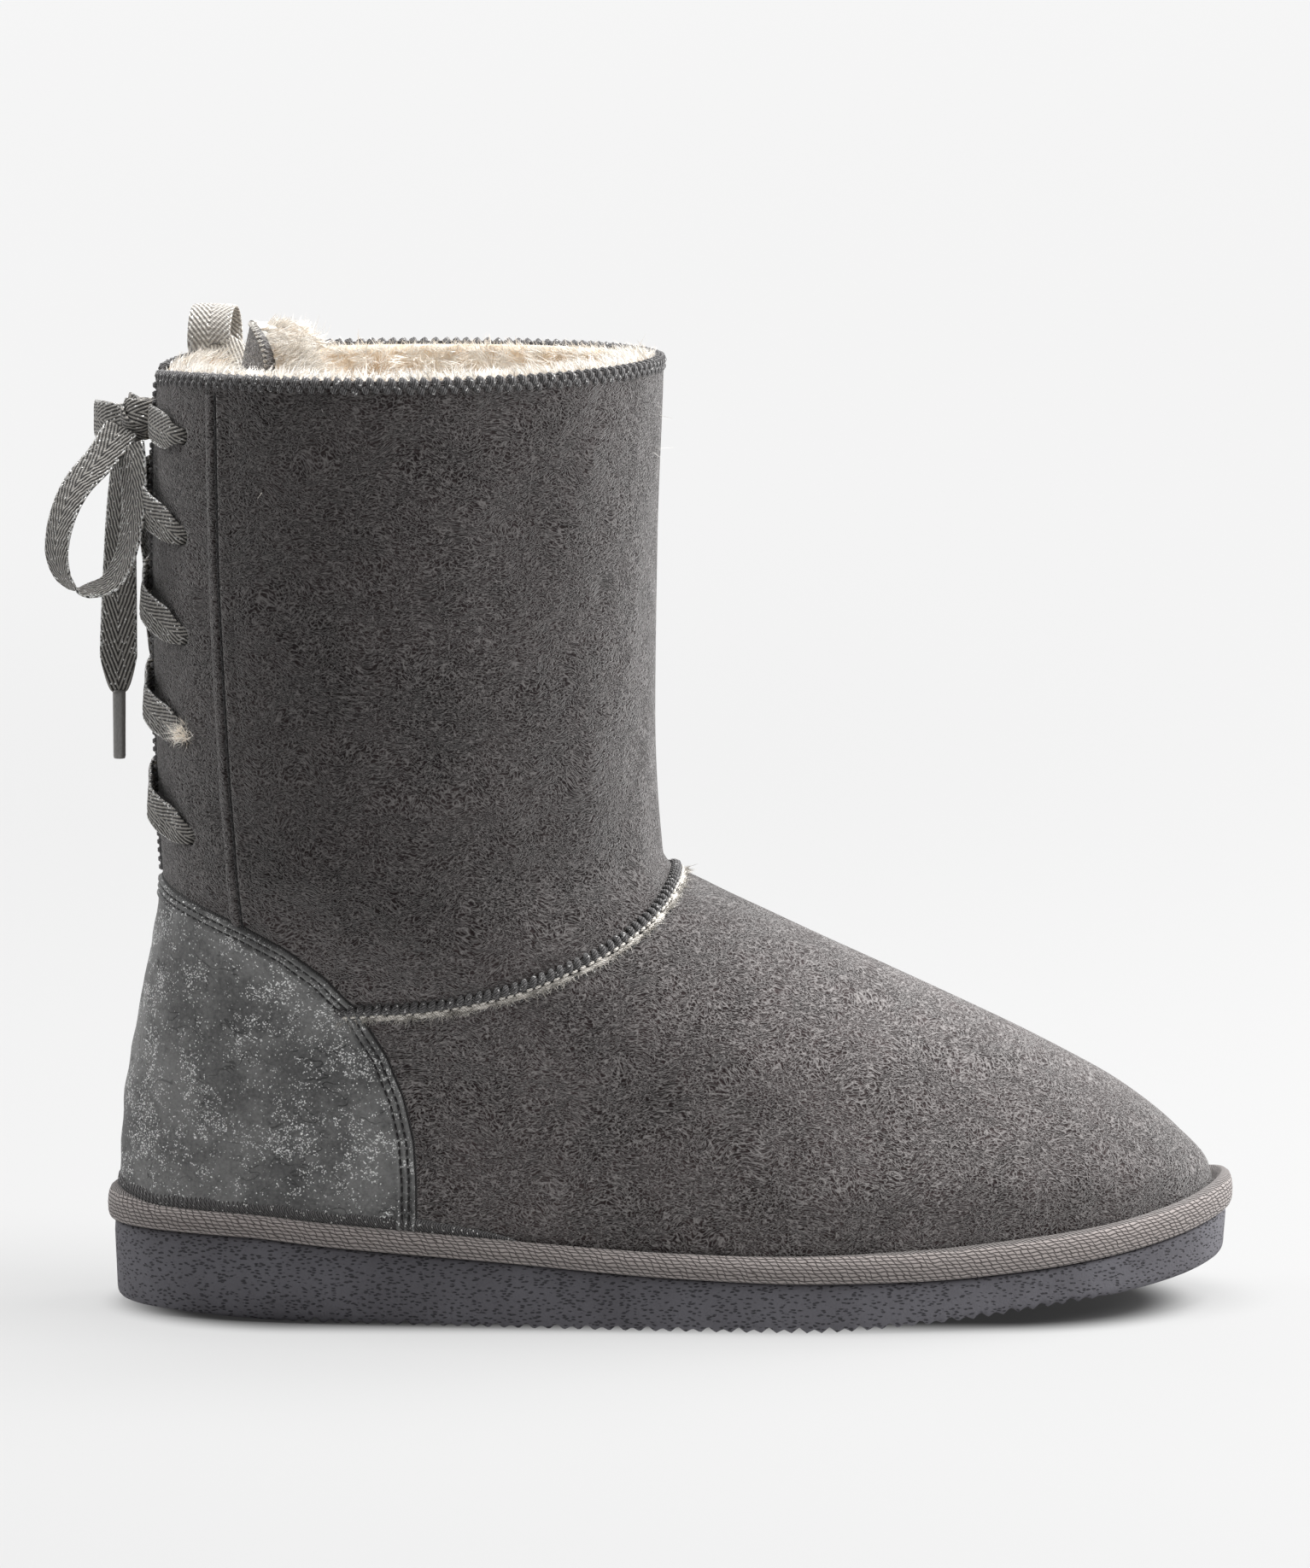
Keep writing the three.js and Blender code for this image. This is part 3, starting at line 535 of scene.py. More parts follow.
def tubes(build, path, normal, radii, sides=6, flat=1.0):
    # round threads along paths (..., rings, 3). radii: one for each ring. flat: height as a share of width
    ahead = unit(np.gradient(path, axis=-2))
    side = unit(np.cross(ahead, normal))
    rise = np.cross(side, ahead)
    a = np.arange(sides) * tau / sides
    radii = np.broadcast_to(radii, path.shape[:-1])[..., None, None]
    ring = side[..., None, :] * np.cos(a)[:, None] + rise[..., None, :] * (flat * np.sin(a))[:, None]
    girth = np.arange(sides + 1) / sides * tau * np.max(radii)
    places = pairs(runOf(path, path.ndim - 2)[..., None], girth)
    build.grid(path[..., None, :] + ring * radii, places, wrap=True)


def stitches(build, rail, starts, shape, radius, sign, sides=6, flat=0.85, jitter=0.1):
    # the same small loop of thread at each start. shape: rows of along, up, out and thickness share
    shape = np.array(shape, float) * (1, sign, 1, 1)
    starts = np.asarray(starts, float)[:, None] + jitter * rng.standard_normal((len(starts), 1))
    tilt = 1 + jitter * 0.3 * rng.standard_normal((len(starts), 1))
    path = rail.at(starts + shape[:, 0], shape[:, 1] * tilt, shape[:, 2])
    outward = rail.at(starts + shape[:, 0], shape[:, 1] * tilt, shape[:, 2] + 1) - path
    tubes(build, path, outward, radius * shape[:, 3], sides, flat)


def hairs(build, roots, ways, lengths, width, bend):
    # thin curved blades. bend: how far each tip is pulled over, (n, 3) in shares of its length
    n = len(roots)
    t = np.array([0, 0.55, 1.0])[None, :, None]
    spine = roots[:, None] + (ways[:, None] * t + bend[:, None] * t**2) * np.asarray(lengths)[:, None, None]
    side = unit(np.cross(ways, rng.standard_normal((n, 3))))[:, None]
    half = np.array([0.5, 0.42, 0.06])[None, :, None] * width
    points = np.stack([spine - side * half, spine + side * half], -2)
    tone = rng.random(n) * 40  # the finish reads a hair's tone and the way along it from its flat places
    build.grid(points, pairs(tone[:, None, None], t * 10))


def catmull(points, count):  # a smooth line through listed points, evenly spaced
    p = np.array(points, float)
    p = np.vstack([2 * p[0] - p[1], p, 2 * p[-1] - p[-2]])
    fine = []
    for i in range(1, len(p) - 2):
        knots = np.concatenate([[0], np.cumsum(np.linalg.norm(np.diff(p[i - 1 : i + 3], axis=0), axis=1) ** 0.5)])
        t = np.linspace(knots[1], knots[2], 24, endpoint=i == len(p) - 3)[:, None]
        mixed = p[i - 1 : i + 3]
        for ends in (((0, 1), (1, 2), (2, 3)), ((0, 2), (1, 3)), ((1, 2),)):
            mixed = [
                mixed[k] * (knots[b] - t) / (knots[b] - knots[a])
                + mixed[k + 1] * (t - knots[a]) / (knots[b] - knots[a])
                for k, (a, b) in enumerate(ends)
            ]
        fine.append(mixed[0])
    return evenly(np.vstack(fine), count)


tape = {
    "width": 9.4, "thick": 1.0, "step": 0.42, "across": 28, "rib": 2.5, "steep": 2.6, "ribDeep": 0.13, "camber": 0.05,
}
pullWeave = {"rib": 1.45, "steep": 1.1}


def ribbon(build, points, across, widths, thick, start=0.0, weave=tape):
    # a woven tape along a line, its width lying along the given directions, with slanted ribs on both faces
    run = runOf(points)
    ahead = unit(np.gradient(points, run, axis=0))
    side = unit(across - ahead * np.sum(across * ahead, -1, keepdims=True))
    face = np.cross(ahead, side)
    a = np.arange(tape["across"]) * tau / tape["across"] + tau / 4
    wide = np.sign(np.cos(a)) * np.abs(np.cos(a)) ** 0.55
    high = np.sign(np.sin(a)) * np.abs(np.sin(a)) ** 0.7
    widths = np.broadcast_to(widths, len(points))[:, None]
    v = wide * widths / 2
    u = (run + start)[:, None]
    slant = np.abs(((v / tape["width"] + 0.5) * 2) % 2 - 1)
    rib = np.sin((u + slant * weave["steep"] * tape["width"] / 2) * tau / weave["rib"]) * tape["ribDeep"]
    lift = high * thick / 2 + np.sign(high) * rib * (np.abs(wide) < 0.93) + tape["camber"] * (1 - wide**2) * thick
    ring = points[:, None] + side[:, None] * v[..., None] + face[:, None] * lift[..., None]
    first = build.grid(ring, pairs(u, np.concatenate([v, v[:, :1]], 1)), wrap=True)
    count, last = tape["across"], first + (len(points) - 1) * tape["across"]
    for base, flip in ((first, True), (last, False)):  # square ends
        for k in range(count // 2 - 1):
            quad = [base + k, base + k + 1, base + (count - k - 2), base + (count - k - 1)]
            build.quad([quad[::-1] if flip else quad], np.zeros((4, 2)))


# Finishes
def suedeFinish(name, light, mid, dark):
    f = Finish(name, {"Roughness": 0.92, "Sheen Weight": 0.62, "Sheen Roughness": 0.38, "Specular IOR Level": 0.1})
    f.shader.inputs["Sheen Tint"].default_value = ink(235, 234, 233)
    place = f.place()
    lie = f.warp(f.warp(place, 14.0, 9.0), 2.6, 1.3)
    strands = []
    for size, away, width in ((0.9, 0.0, 3.0), (0.62, 61.0, 2.3)):
        laid = f.stretched(f.vector("ADD", lie, (away, away, away)), (0.62, 0.62, 1.45))
        strands.append((1 - abs(f.noise(laid, size, 0.0) * 2 - 1) * width).atLeast(0))
    fibre = strands[0].atLeast(strands[1] * 0.8)
    nap = f.noise(place, 0.55, 1.0, 0.6)
    cloud = f.noise(place, 24, 3.0, 0.6).ramp(0.3, 0.7)
    patch = f.noise(place, 6, 2.0, 0.6).ramp(0.3, 0.72)
    colour = f.mix((cloud * 0.32 + patch * 0.13 + nap * 0.55).ramp(0.15, 0.8), dark, mid)
    colour = f.mix((fibre * (0.45 + nap)).ramp(0.25, 1.05) * 0.8, colour, light)
    ahead, _, height = f.axes(place)
    foot = (1 - height.ramp(66, 118)) * (1 - ahead.ramp(40, 125) * 0.6)
    colour = f.scaled(colour, 1 + foot * 0.85)  # painted light: the foot's panels are painted a shade lighter, standing in for the light they catch
    return f.feed(colour, fibre * 0.75 + nap * 0.25, 0.42)


# the glow stands for light scattered within the pile
pileShine = {"Emission Strength": 0.09, "Sheen Weight": 0.3, "Sheen Roughness": 0.5}


def furFinish():
    f = Finish("fur", {**pileShine, "Roughness": 0.9, "Specular IOR Level": 0.2})
    tone, along, _ = f.axes(f.place("UV"))
    tip = (along / 10).ramp(0.0, 0.8)
    lump = f.noise(f.place(), 6, 2.0).ramp(0.3, 0.7)
    _, _, height = f.axes(f.place())
    warm = f.mix(lump, ink(240, 219, 192), ink(250, 242, 230))
    colour = f.mix(tip * 0.7 + (tone / 40) * 0.3, warm, ink(248, 245, 240))
    colour = f.scaled(colour, 1 - height.ramp(229, 236) * 0.18)  # painted shade: the lit top is painted a little darker to offset the light falling on it
    return f.feed(colour, glow=colour)


def pileFinish():
    f = Finish("fur_pile", {**pileShine, "Roughness": 0.95, "Specular IOR Level": 0.15})
    lump = f.noise(f.place(), 6, 3.0).ramp(0.25, 0.75)
    strand = f.noise(f.warp(f.stretched(f.place(), (1.4, 1.4, 0.6)), 3, 2.5), 0.7, 3.0, 0.65)
    colour = f.mix((lump * 0.5 + strand * 0.5).ramp(0.3, 0.75), ink(236, 214, 186), ink(246, 237, 224))
    return f.feed(colour, strand + lump, 0.9, 0.9, glow=colour)


def threadFinish(name, dark, light, glint=0.0):
    f = Finish(name, {"Roughness": 0.85, "Specular IOR Level": 0.25, "Sheen Weight": 0.3})
    u, v, _ = f.axes(f.place("UV"))
    ply = stripes(u * 1.5 + v * 1.1, 1)
    fuzz = f.noise(f.place(), 0.4, 2.0, 0.7)
    colour = f.mix((ply * 0.4 + fuzz * 0.6).ramp(0.2, 0.8), dark, light)
    if glint:
        red, _, _ = f.axes(f.cells(f.place(), 0.36, "Color"))
        colour = f.mix((red > 1 - glint) * 0.85, colour, ink(225, 224, 222))
    return f.feed(colour, ply * 0.5 + fuzz * 0.5, 0.35, 0.9)


def tapeFinish(name, dark, light, glint, weave):
    f = Finish(name, {"Specular IOR Level": 0.4, "Sheen Weight": 0.2})
    u, v, _ = f.axes(f.place("UV"))
    slant = abs((v / tape["width"] + 0.5) * 2 - 1)
    rib = stripes(u + slant * (weave["steep"] * tape["width"] / 2), weave["rib"])
    yarn = stripes(u - slant * 3.2, 0.62)
    fuzz = f.noise(f.place(), 0.45, 2.0)
    colour = f.mix((rib * 0.62 + fuzz * 0.28 + yarn * 0.1).ramp(0.22, 0.82), dark, light)
    red, green, _ = f.axes(f.cells(f.stretched(f.place("UV"), (1.0, 1.5, 1.0)), 0.4, "Color"))
    edge = abs(v).ramp(tape["width"] * 0.38, tape["width"] * 0.48)
    spark = red > (1 - glint * (1 + edge * 12))
    colour = f.mix(spark * (0.4 + green * 0.6), colour, ink(238, 238, 236))
    return f.feed(colour, rib * 0.8 + yarn * 0.2, 0.4, 0.9, 0.78 - spark * 0.5, spark * 0.4)


def counterFinish():
    f = Finish("glitter_leather", {"Specular IOR Level": 0.4, "Coat Roughness": 0.35})
    place = f.place()
    cloud = f.noise(place, 17, 3.0, 0.62).ramp(0.35, 0.66)
    grain = f.noise(f.warp(place, 2.4, 1.2), 0.9, 3.0, 0.65)
    patch = (f.noise(place, 9, 3.0, 0.6) * 0.6 + f.noise(place, 2.6, 2.0) * 0.4).ramp(0.46, 0.64)
    red, green, _ = f.axes(f.cells(place, 0.3, "Color"))
    spark = red > (0.98 - patch * 0.32)
    base = f.mix((cloud * 0.3 + grain * 0.7).ramp(0.2, 0.8), ink(80, 80, 80), ink(130, 130, 129))
    colour = f.mix(spark * (0.25 + green * 0.75), base, ink(250, 250, 249))
    squeezed = f.stretched(f.warp(place, 5, 6), (0.5, 0.5, 1.1))
    crack = ridges(f.noise(squeezed, 4.5, 2.0)).ramp(0.95, 0.995) * f.noise(place, 7, 1.0).ramp(0.5, 0.64)
    colour = f.mix(crack * 0.45, colour, ink(44, 44, 44))
    height = grain * 0.7 + spark * 0.25 - crack
    return f.feed(colour, height, 0.4, 0.9, 0.66 - spark * 0.35, spark * 0.35)


def weltFinish():
    # slanted stitches in rows over the lower half, a fine slanted weave over the upper half
    f = Finish("welt_tape", {"Roughness": 0.9, "Specular IOR Level": 0.15, "Sheen Weight": 0.2})
    u, v, _ = f.axes(f.place("UV"))
    drift = f.noise(f.place(), 3.0, 1.0) - 0.5
    row = (v + drift * 0.9) / 0.9
    cell = ((u + drift * 2) / 1.9 + row.whole() * 0.37 + row.part() * 0.6).part()
    brick = hump(cell, 0.16) * hump(row.part(), 0.24)
    twill = stripes(u + v * 1.4, 1.1)
    onTop = v.ramp(13.0, 14.0)
    weave = brick + (twill - brick) * onTop
    fuzz = f.noise(f.place(), 0.5, 2.0, 0.65)
    # painted shade: the gaps between the stitches and the weave's lines are darkened, standing in for their shade
    shade = (weave * 0.62 + fuzz * 0.38).ramp(0.12, 0.85)
    light = f.mix(onTop, ink(163, 155, 152), ink(154, 149, 147))
    return f.feed(f.mix(shade, ink(84, 77, 75), light), weave * 0.75 + fuzz * 0.25, 0.5)


def foamFinish():
    f = Finish("sole_foam", {"Specular IOR Level": 0.3})
    place = f.place()
    flat = f.stretched(f.warp(place, 3, 0.9), (0.55, 0.55, 1.5))
    mark = 1 - f.cells(flat, 0.95).ramp(0.18, 0.42)
    pebble = f.noise(place, 0.6, 2.0)
    cloud = f.noise(place, 22, 2.0)
    base = f.mix(cloud.ramp(0.3, 0.7) * 0.5 + pebble * 0.5, ink(91, 89, 94), ink(114, 113, 119))
    colour = f.mix(mark * 0.75, base, ink(44, 43, 46))
    return f.feed(colour, pebble * 0.35 - mark * 0.9, 0.4, 0.9, 0.75 + pebble * 0.1)


def tipFinish():
    f = Finish("lace_tip", {"Roughness": 0.3, "Coat Weight": 0.6, "Coat Roughness": 0.15})
    weave = f.noise(f.stretched(f.place(), (3, 3, 1)), 0.8, 2.0)
    return f.feed(f.mix(weave, ink(84, 82, 80), ink(140, 138, 135)), weave, 0.1, 0.4)


finishes = {
    "suede": suedeFinish("suede", ink(121, 118, 117), ink(52, 45, 45), ink(23, 17, 17)),
    "tongueSuede": suedeFinish("tongue_suede", ink(158, 156, 155), ink(98, 95, 94), ink(56, 53, 53)),
    "fur": furFinish(),
    "pile": pileFinish(),
    "overcast": threadFinish("overcast_thread", ink(36, 35, 36), ink(114, 112, 112), 0.03),
    "darkThread": threadFinish("dark_thread", ink(24, 22, 23), ink(62, 60, 60)),
    "creamThread": threadFinish("cream_fur_line", ink(206, 198, 186), ink(248, 245, 240)),
    "lace": tapeFinish("lace_tape", ink(40, 38, 37), ink(160, 156, 150), 0.035, tape),
    "paleTape": tapeFinish("pull_tape", ink(148, 143, 137), ink(210, 205, 197), 0.015, pullWeave),
    "counter": counterFinish(),
    "welt": weltFinish(),
    "foam": foamFinish(),
    "tip": tipFinish(),
}
print("stage: finishes made")


# Lace: bow, loops and ends. Routes and the way the tape's width lies, as in the solids.
bow = {
    "nearLoop": [
        (-135.4, -3.5, 218.5), (-140.2, -7.5, 211.5), (-145.8, -10, 205.3), (-149, -11.5, 199.3),
        (-150.8, -12.5, 192.6), (-151, -13, 187.2), (-149.2, -13.5, 182.4), (-145.8, -14, 179.6), (-142, -14, 179.6),
        (-137.8, -14, 181.5), (-134.6, -13.8, 187), (-132.8, -13.2, 194), (-132, -12.2, 202), (-132.4, -10.5, 209),
        (-133.2, -8, 214.5),
    ],
    "nearLoopAcross": [(0.35, -0.6, -0.7), (0.6, -0.75, -0.25), (0.55, -0.8, 0), (0.75, -0.6, 0.2)],
    "farLoop": [
        (-135.6, 2.5, 219), (-139.5, 6.5, 219.3), (-142.2, 14, 219), (-142.6, 24, 218), (-140.8, 33, 216.6),
        (-137, 37.5, 215.6), (-133.2, 34.5, 215.4), (-131.4, 26, 217.2), (-132.2, 17, 219.5), (-134, 9.5, 221.4),
    ],
    "farLoopAcross": [(0, 0.1, 1), (0, 0.1, 1), (0, 0.1, 1)],
    "nearEnd": [
        (-134.5, -1.5, 214.2), (-135.2, -3.4, 207), (-135.7, -4.8, 197), (-135.9, -6, 186), (-136.1, -7, 175),
        (-136.3, -7.6, 164), (-136.2, -7.8, 153.4),
    ],
    "nearEndAcross": [(0.6, -0.8, 0), (0.85, -0.5, 0), (1, -0.1, 0), (1, 0, 0)],
    "farEnd": [
        (-131.6, 2.6, 215.1), (-132.6, 8, 206.5), (-131.8, 12.5, 198.5), (-130.4, 17, 190), (-129.2, 20, 180),
        (-128.6, 21.5, 168.8), (-128.4, 22, 158.6),
    ],
    "farEndAcross": [(0.1, 0.95, 0.3), (0.3, 0.9, 0.1), (0.45, 0.9, 0)],
    "knotAt": (-130, 0, 220.7),
    "tipRadius": 1.5,
}


def freeTape(name, routeName, replaces):
    rough = catmull(bow[routeName], 200)
    count = int(runOf(rough)[-1] / tape["step"])
    points = catmull(bow[routeName], count)
    way = np.array(bow[routeName + "Across"], float)
    across = catmull(way, count) if np.ptp(way, axis=0).max() > 0 else np.repeat(way[:1], count, 0)
    widths = np.full(count, tape["width"])
    if "End" in routeName:  # drawn in towards its tip
        toTip = np.clip((runOf(points)[-1] - runOf(points)) / 9, 0, 1)
        widths *= 0.34 + 0.66 * toTip**0.6
    build = Build()
    ribbon(build, points, across, widths, tape["thick"])
    return build.piece(name, "lace", "lace_tape", replaces), points


def makeTip(name, routeName, replaces):
    x, y, z = bow[routeName][-1]
    heights = np.array([0, 0.0, 0.3, 1.0, 8, 16.4, 17.0, 17.1, 17.1])
    radii = bow["tipRadius"] * np.array([0.0, 0.85, 1.0, 1.03, 1.0, 0.98, 0.9, 0.7, 0.0])
    path = np.stack([np.full(9, x), np.full(9, y), z + 0.6 - heights], -1)
    a = np.arange(20) * tau / 20
    ring = np.stack([np.cos(a), np.sin(a), np.zeros(20)], -1)
    points = path[:, None] + ring[None] * radii[:, None, None] * (1 + 0.05 * np.cos(2 * a))[None, :, None]
    build = Build()
    build.grid(points, pairs(heights[:, None], np.arange(21) / 2), wrap=True, flip=True)
    return build.piece(name, "tip", "lace_tip", replaces)


def makeKnot():
    # three turns of tape, each leaning its own way
    build = Build()
    turns = [
        {"tilt": 12, "half": (4.4, 5.2), "at": (0, 0, 0.6), "width": 8.6, "from": 0, "to": 360},
        {"tilt": -38, "half": (4.7, 4.6), "at": (-0.5, -0.4, -0.2), "width": 7.4, "from": -20, "to": 340},
        {"tilt": 78, "half": (4.2, 4.4), "at": (-0.6, 0.3, -0.4), "width": 6.6, "from": -30, "to": 330},
    ]
    for turn in turns:
        a = np.radians(np.linspace(turn["from"], turn["to"], 64))
        tilt = math.radians(turn["tilt"])
        across = np.array([0, math.sin(tilt), math.cos(tilt)])
        level = np.array([0, math.cos(tilt), -math.sin(tilt)])
        points = (
            np.array(bow["knotAt"]) + np.array(turn["at"])
            + np.outer(np.cos(a) * turn["half"][0], (-1, 0, 0)) + np.outer(np.sin(a) * turn["half"][1], level)
        )
        widths = turn["width"] * (0.86 + 0.14 * np.cos(2 * a))
        ribbon(build, points, np.repeat(across[None], len(a), 0), widths, 1.2)
    return build.piece("bow_knot_tied", "lace", "lace_tape", "bow_knot")


knot = makeKnot()
tips = {end: makeTip(f"lace_tip_{end}", f"{end}End", f"aglet_{end}") for end in ("near", "far")}
for end in ("near", "far"):
    for name, route, stood, farEnd, fitting in (
        ("loop", "Loop", "bow_loop", "object", knot), ("hanging", "End", "lace_end", "fitting", tips[end]),
    ):
        made, path = freeTape(f"lace_{name}_{end}", end + route, f"{stood}_{end}")
        runOf(path)[-1] * mm
print("stage: bow made")


# Lace between the eyelets
slit = {"top": 16, "foot": 8, "from": 108, "bottom": 106.6, "round": 4.2}
eyelets = {"rows": 5, "lowest": 120, "pitch": 24.7, "reach": 27, "radius": 2.3}
eyeletHeights = eyelets["lowest"] + eyelets["pitch"] * np.arange(eyelets["rows"])
strand = {"standoff": 0.9, "edgeRoom": 2.8, "knotWidth": 12, "knotRoom": 1.6, "knotAt": 220.7}
# run: share of the way. out: distance from the wall in shares of the standoff. width: share of the tape's
strandLine = np.array([
    (-0.02, -2.6, 0.46), (0.03, 0.4, 0.56), (0.1, 1.4, 0.76), (0.2, 1.7, 0.96), (0.36, 3.0, 1), (0.5, 3.1, 1),
    (0.66, 2.2, 1), (0.84, 1.7, 1), (1, -1.6, 1), (1.06, -2.4, 1),
])
topStrandLine = np.array([
    (-0.03, -2.6, 0.36), (0.04, 0.4, 0.42), (0.16, 1.4, 0.66), (0.32, 1.1, 0.95), (0.6, 1.1, 1), (1, 1.2, 0.9),
])


def slitHalf(z):
    share = np.clip((np.asarray(z, float) - slit["from"]) / (boot["collar"] - slit["from"]), 0, 1.1)
    foot = np.clip((z - slit["bottom"]) / slit["round"], 0, 1)
    return (slit["foot"] + (slit["top"] - slit["foot"]) * share) / 2 * np.sqrt(foot * (2 - foot))


def laceStrand(build, side, z, endReach, endZ, line, over=0.0):
    startReach = side * eyelets["reach"]
    fine = np.linspace(line[0, 0], line[-1, 0], 90)
    out = smoothCurve(line[:, 0], line[:, 1])(fine) * strand["standoff"] + over * np.exp(-(((fine - 0.5) / 0.16) ** 2))
    width = smoothCurve(line[:, 0], line[:, 2])(fine) * tape["width"]

    def place(run, out):
        return skinUp(turnAt(startReach + (endReach - startReach) * run), z + (endZ - z) * run, out)

    points = place(fine, out)
    outward = unit(place(fine, 1.0) - place(fine, 0.0))
    across = np.cross(np.gradient(points, axis=0), outward)
    even = spaced(np.hstack([points, across, width[:, None]]), tape["step"])
    ribbon(build, even[:, :3], even[:, 3:6], even[:, 6], tape["thick"], start=z)


for row in range(eyelets["rows"] - 1):
    z = eyeletHeights[row]
    beyond = float(slitHalf(z)) - strand["edgeRoom"]
    endZ = z + eyelets["pitch"] * (eyelets["reach"] + beyond) / (2 * eyelets["reach"])
    build = Build()
    laceStrand(build, 1, z, -beyond, endZ, strandLine, 0.6)
    laceStrand(build, -1, z, beyond, endZ, strandLine, -0.6)
    build.piece(f"lace_strands_{row + 1}", "lace", "lace_tape", f"lace_crossing_{row + 1}")
for side, name in ((1, "near"), (-1, "far")):
    build = Build()
    knotSide = side * (strand["knotWidth"] / 2 + strand["knotRoom"])
    laceStrand(build, side, eyeletHeights[-1], knotSide, strand["knotAt"], topStrandLine)
    build.piece(f"lace_strand_{name}", "lace", "lace_tape", f"lace_top_{name}")
print("stage: laces made")


# Upper
upper = {"rows": 150, "backColumns": 30, "frontColumns": 80, "backReach": 34, "holeRoom": 0.45}


def slitTurn(z):
    return turnAt(slitHalf(z))


def upperGrid(size, top=0.0, bottom=0.3):
    # turns and heights of a grid that follows the slit's edges, the collar and the sole
    rows = size["rows"]
    near = np.linspace(0, turnAt(upper["backReach"]), size["backColumns"] + 1)
    far = np.linspace(near[-1], math.pi, size["frontColumns"] + 1)[1:]
    half = np.concatenate([near, far])
    turn = np.concatenate([half, tau - half[-2::-1]])
    share = np.linspace(0, 1, rows)[:, None]
    z = np.full((rows, len(turn)), 30.0)
    for _ in range(6):
        x = upperPoint(turn[None], levelOf(z))[..., 0]
        z = (soleRim(x) + bottom) * (1 - share) + (rimLine(x) + top) * share
    gapTurn = slitTurn(z)
    return gapTurn + turn[None] * (1 - gapTurn / math.pi), z


def makeUpper():
    turn, z = upperGrid(upper)
    outer, inner = skinUp(turn, z), skinUp(turn, z, -boot["wall"])
    places = patternOf(outer)
    keep = np.ones((outer.shape[0] - 1, outer.shape[1] - 1), bool)
    for side in (-1, 1):
        for height in eyeletHeights:
            at = skinUp(turnAt(side * eyelets["reach"]), height)
            within = np.linalg.norm(outer - at, axis=-1) < eyelets["radius"] + upper["holeRoom"]
            gone = within[:-1, :-1] & within[1:, :-1] & within[:-1, 1:] & within[1:, 1:]
            keep &= ~gone
            touched = np.zeros(within.shape, bool)
            for dr in (0, 1):
                for dc in (0, 1):
                    touched[dr : dr + gone.shape[0], dc : dc + gone.shape[1]] |= gone
            way = unit(outer - at)
            shift = np.where(touched[..., None], at + way * eyelets["radius"] - outer, 0)
            outer, inner = outer + shift, inner + shift
    build = Build()
    build.slab(outer, inner, places, keep)
    build.piece("suede_upper", "suede", "suede", "upper")


makeUpper()
print("stage: upper made")


# Sole
tread = {"pitch": 3.72, "deep": 1.5, "lower": 0.35, "from": -97, "to": 108, "fade": 7, "reach": 2.6}
# out and up of the side wall from the underside: up is a share of the wall, plus millimetres at the foot
outsoleSection = [
    (-2.6, 0.0, 0.0), (-2.0, 0.0, 0.05), (-1.45, 0.0, 0.3), (-1.0, 0.0, 0.8), (-0.7, 0.0, 1.4), (-0.55, 0.06, 1.6),
    (-0.4, 0.3, 1.1), (-0.25, 0.5, 0.7), (-0.1, 0.7, 0.3), (0.0, 0.85, 0.1), (-0.1, 0.96, 0.0), (-0.5, 1.0, 0.0),
    (-2.5, 1.0, 0.0),
]


def soleTurns():
    x = np.arange(tread["from"], tread["to"] + 0.01, tread["pitch"] / 6)
    middle = np.arccos(-x / soleHalf)
    start = np.linspace(0, middle[0], 26)[:-1]
    end = np.linspace(middle[-1], math.pi, 26)[1:]
    half = np.concatenate([start, middle, end])
    return np.concatenate([half, tau - half[-2:0:-1]])


def soleRings(turn, section, heightAt):
    # rings round the sole, one for each row of the section. heightAt: z from x and the rest of that row
    rings = []
    for out, *row in section:
        flat = soleAt(turn, out)
        rings.append(np.column_stack([flat, heightAt(flat[:, 0], *row)]))
    return np.stack(rings)


def treadNotch(x):
    # a saw-tooth with every second tooth a little lower
    share = (x - tread["from"]) / tread["pitch"]
    tooth = np.abs((share % 1) * 2 - 1)
    lower = 1 - tread["lower"] * (np.floor(share) % 2)
    ends = np.clip((x - tread["from"]) / tread["fade"], 0, 1) * np.clip((tread["to"] - x) / tread["fade"], 0, 1)
    return tread["deep"] * (1 - tooth) * lower * ends


def makeOutsole():
    turn = soleTurns()
    count = len(turn)

    def heightAt(x, share, up):
        base = soleFloor(x)
        notch = treadNotch(x) * max(0.0, 1 - (share * 17 + up) / tread["reach"])
        return base + notch + share * (soleRim(x) - base) + up

    points = soleRings(turn, outsoleSection, heightAt)
    run = np.array([[share * 18 + up] for _, share, up in outsoleSection])
    build = Build()
    first = build.grid(points, pairs(ringRun(points[8], 0.5), run), wrap=True)
    top = first + (len(points) - 1) * count
    i = np.arange(1, count // 2)
    j, k = i + 1, count - i - 1
    mirror = (count - i) % count
    flat = points.reshape(-1, 3)[:, :2]
    for faces in ([first + i, first + mirror, first + k, first + j], [top + i, top + j, top + k, top + mirror]):
        faces = np.stack(faces, -1)[j < k]
        build.quad(faces, flat[faces])
    for base, faces in ((first, [0, 1, count - 1, count - 1]), (top, [0, count - 1, 1, 1])):
        build.quad([[base + v for v in faces]], flat[[base + v for v in faces]])
    build.piece("foam_outsole", "foam", "sole_foam", "outsole")


# Welt: section from the seat on the sole round the outside to the top, in shares of overhang and height
weltSection = np.array([
    (-3.0, 0.0), (0.2, 0.0), (0.62, 0.03), (0.9, 0.12), (1.0, 0.25), (1.02, 0.4), (0.98, 0.55), (0.82, 0.7),
    (0.5, 0.84), (0.0, 0.94), (-0.6, 0.98), (-1.2, 0.9), (-1.7, 0.74), (-3.6, 0.6),
])


def makeWelt():
    turn = np.arange(540) * tau / 540
    section = spaced(weltSection * (boot["weltOverhang"], 1), 0.26)
    points = soleRings(turn, section, lambda x, up: soleRim(x) + boot["gap"] + up * weltRise(x))
    up = runOf(points)
    places = pairs(ringRun(points[len(points) // 2], 1.2), np.concatenate([up, up[:, :1]], 1))
    build = Build()
    build.grid(points, places, wrap=True)
    build.piece("woven_welt", "welt", "welt_tape", "welt")


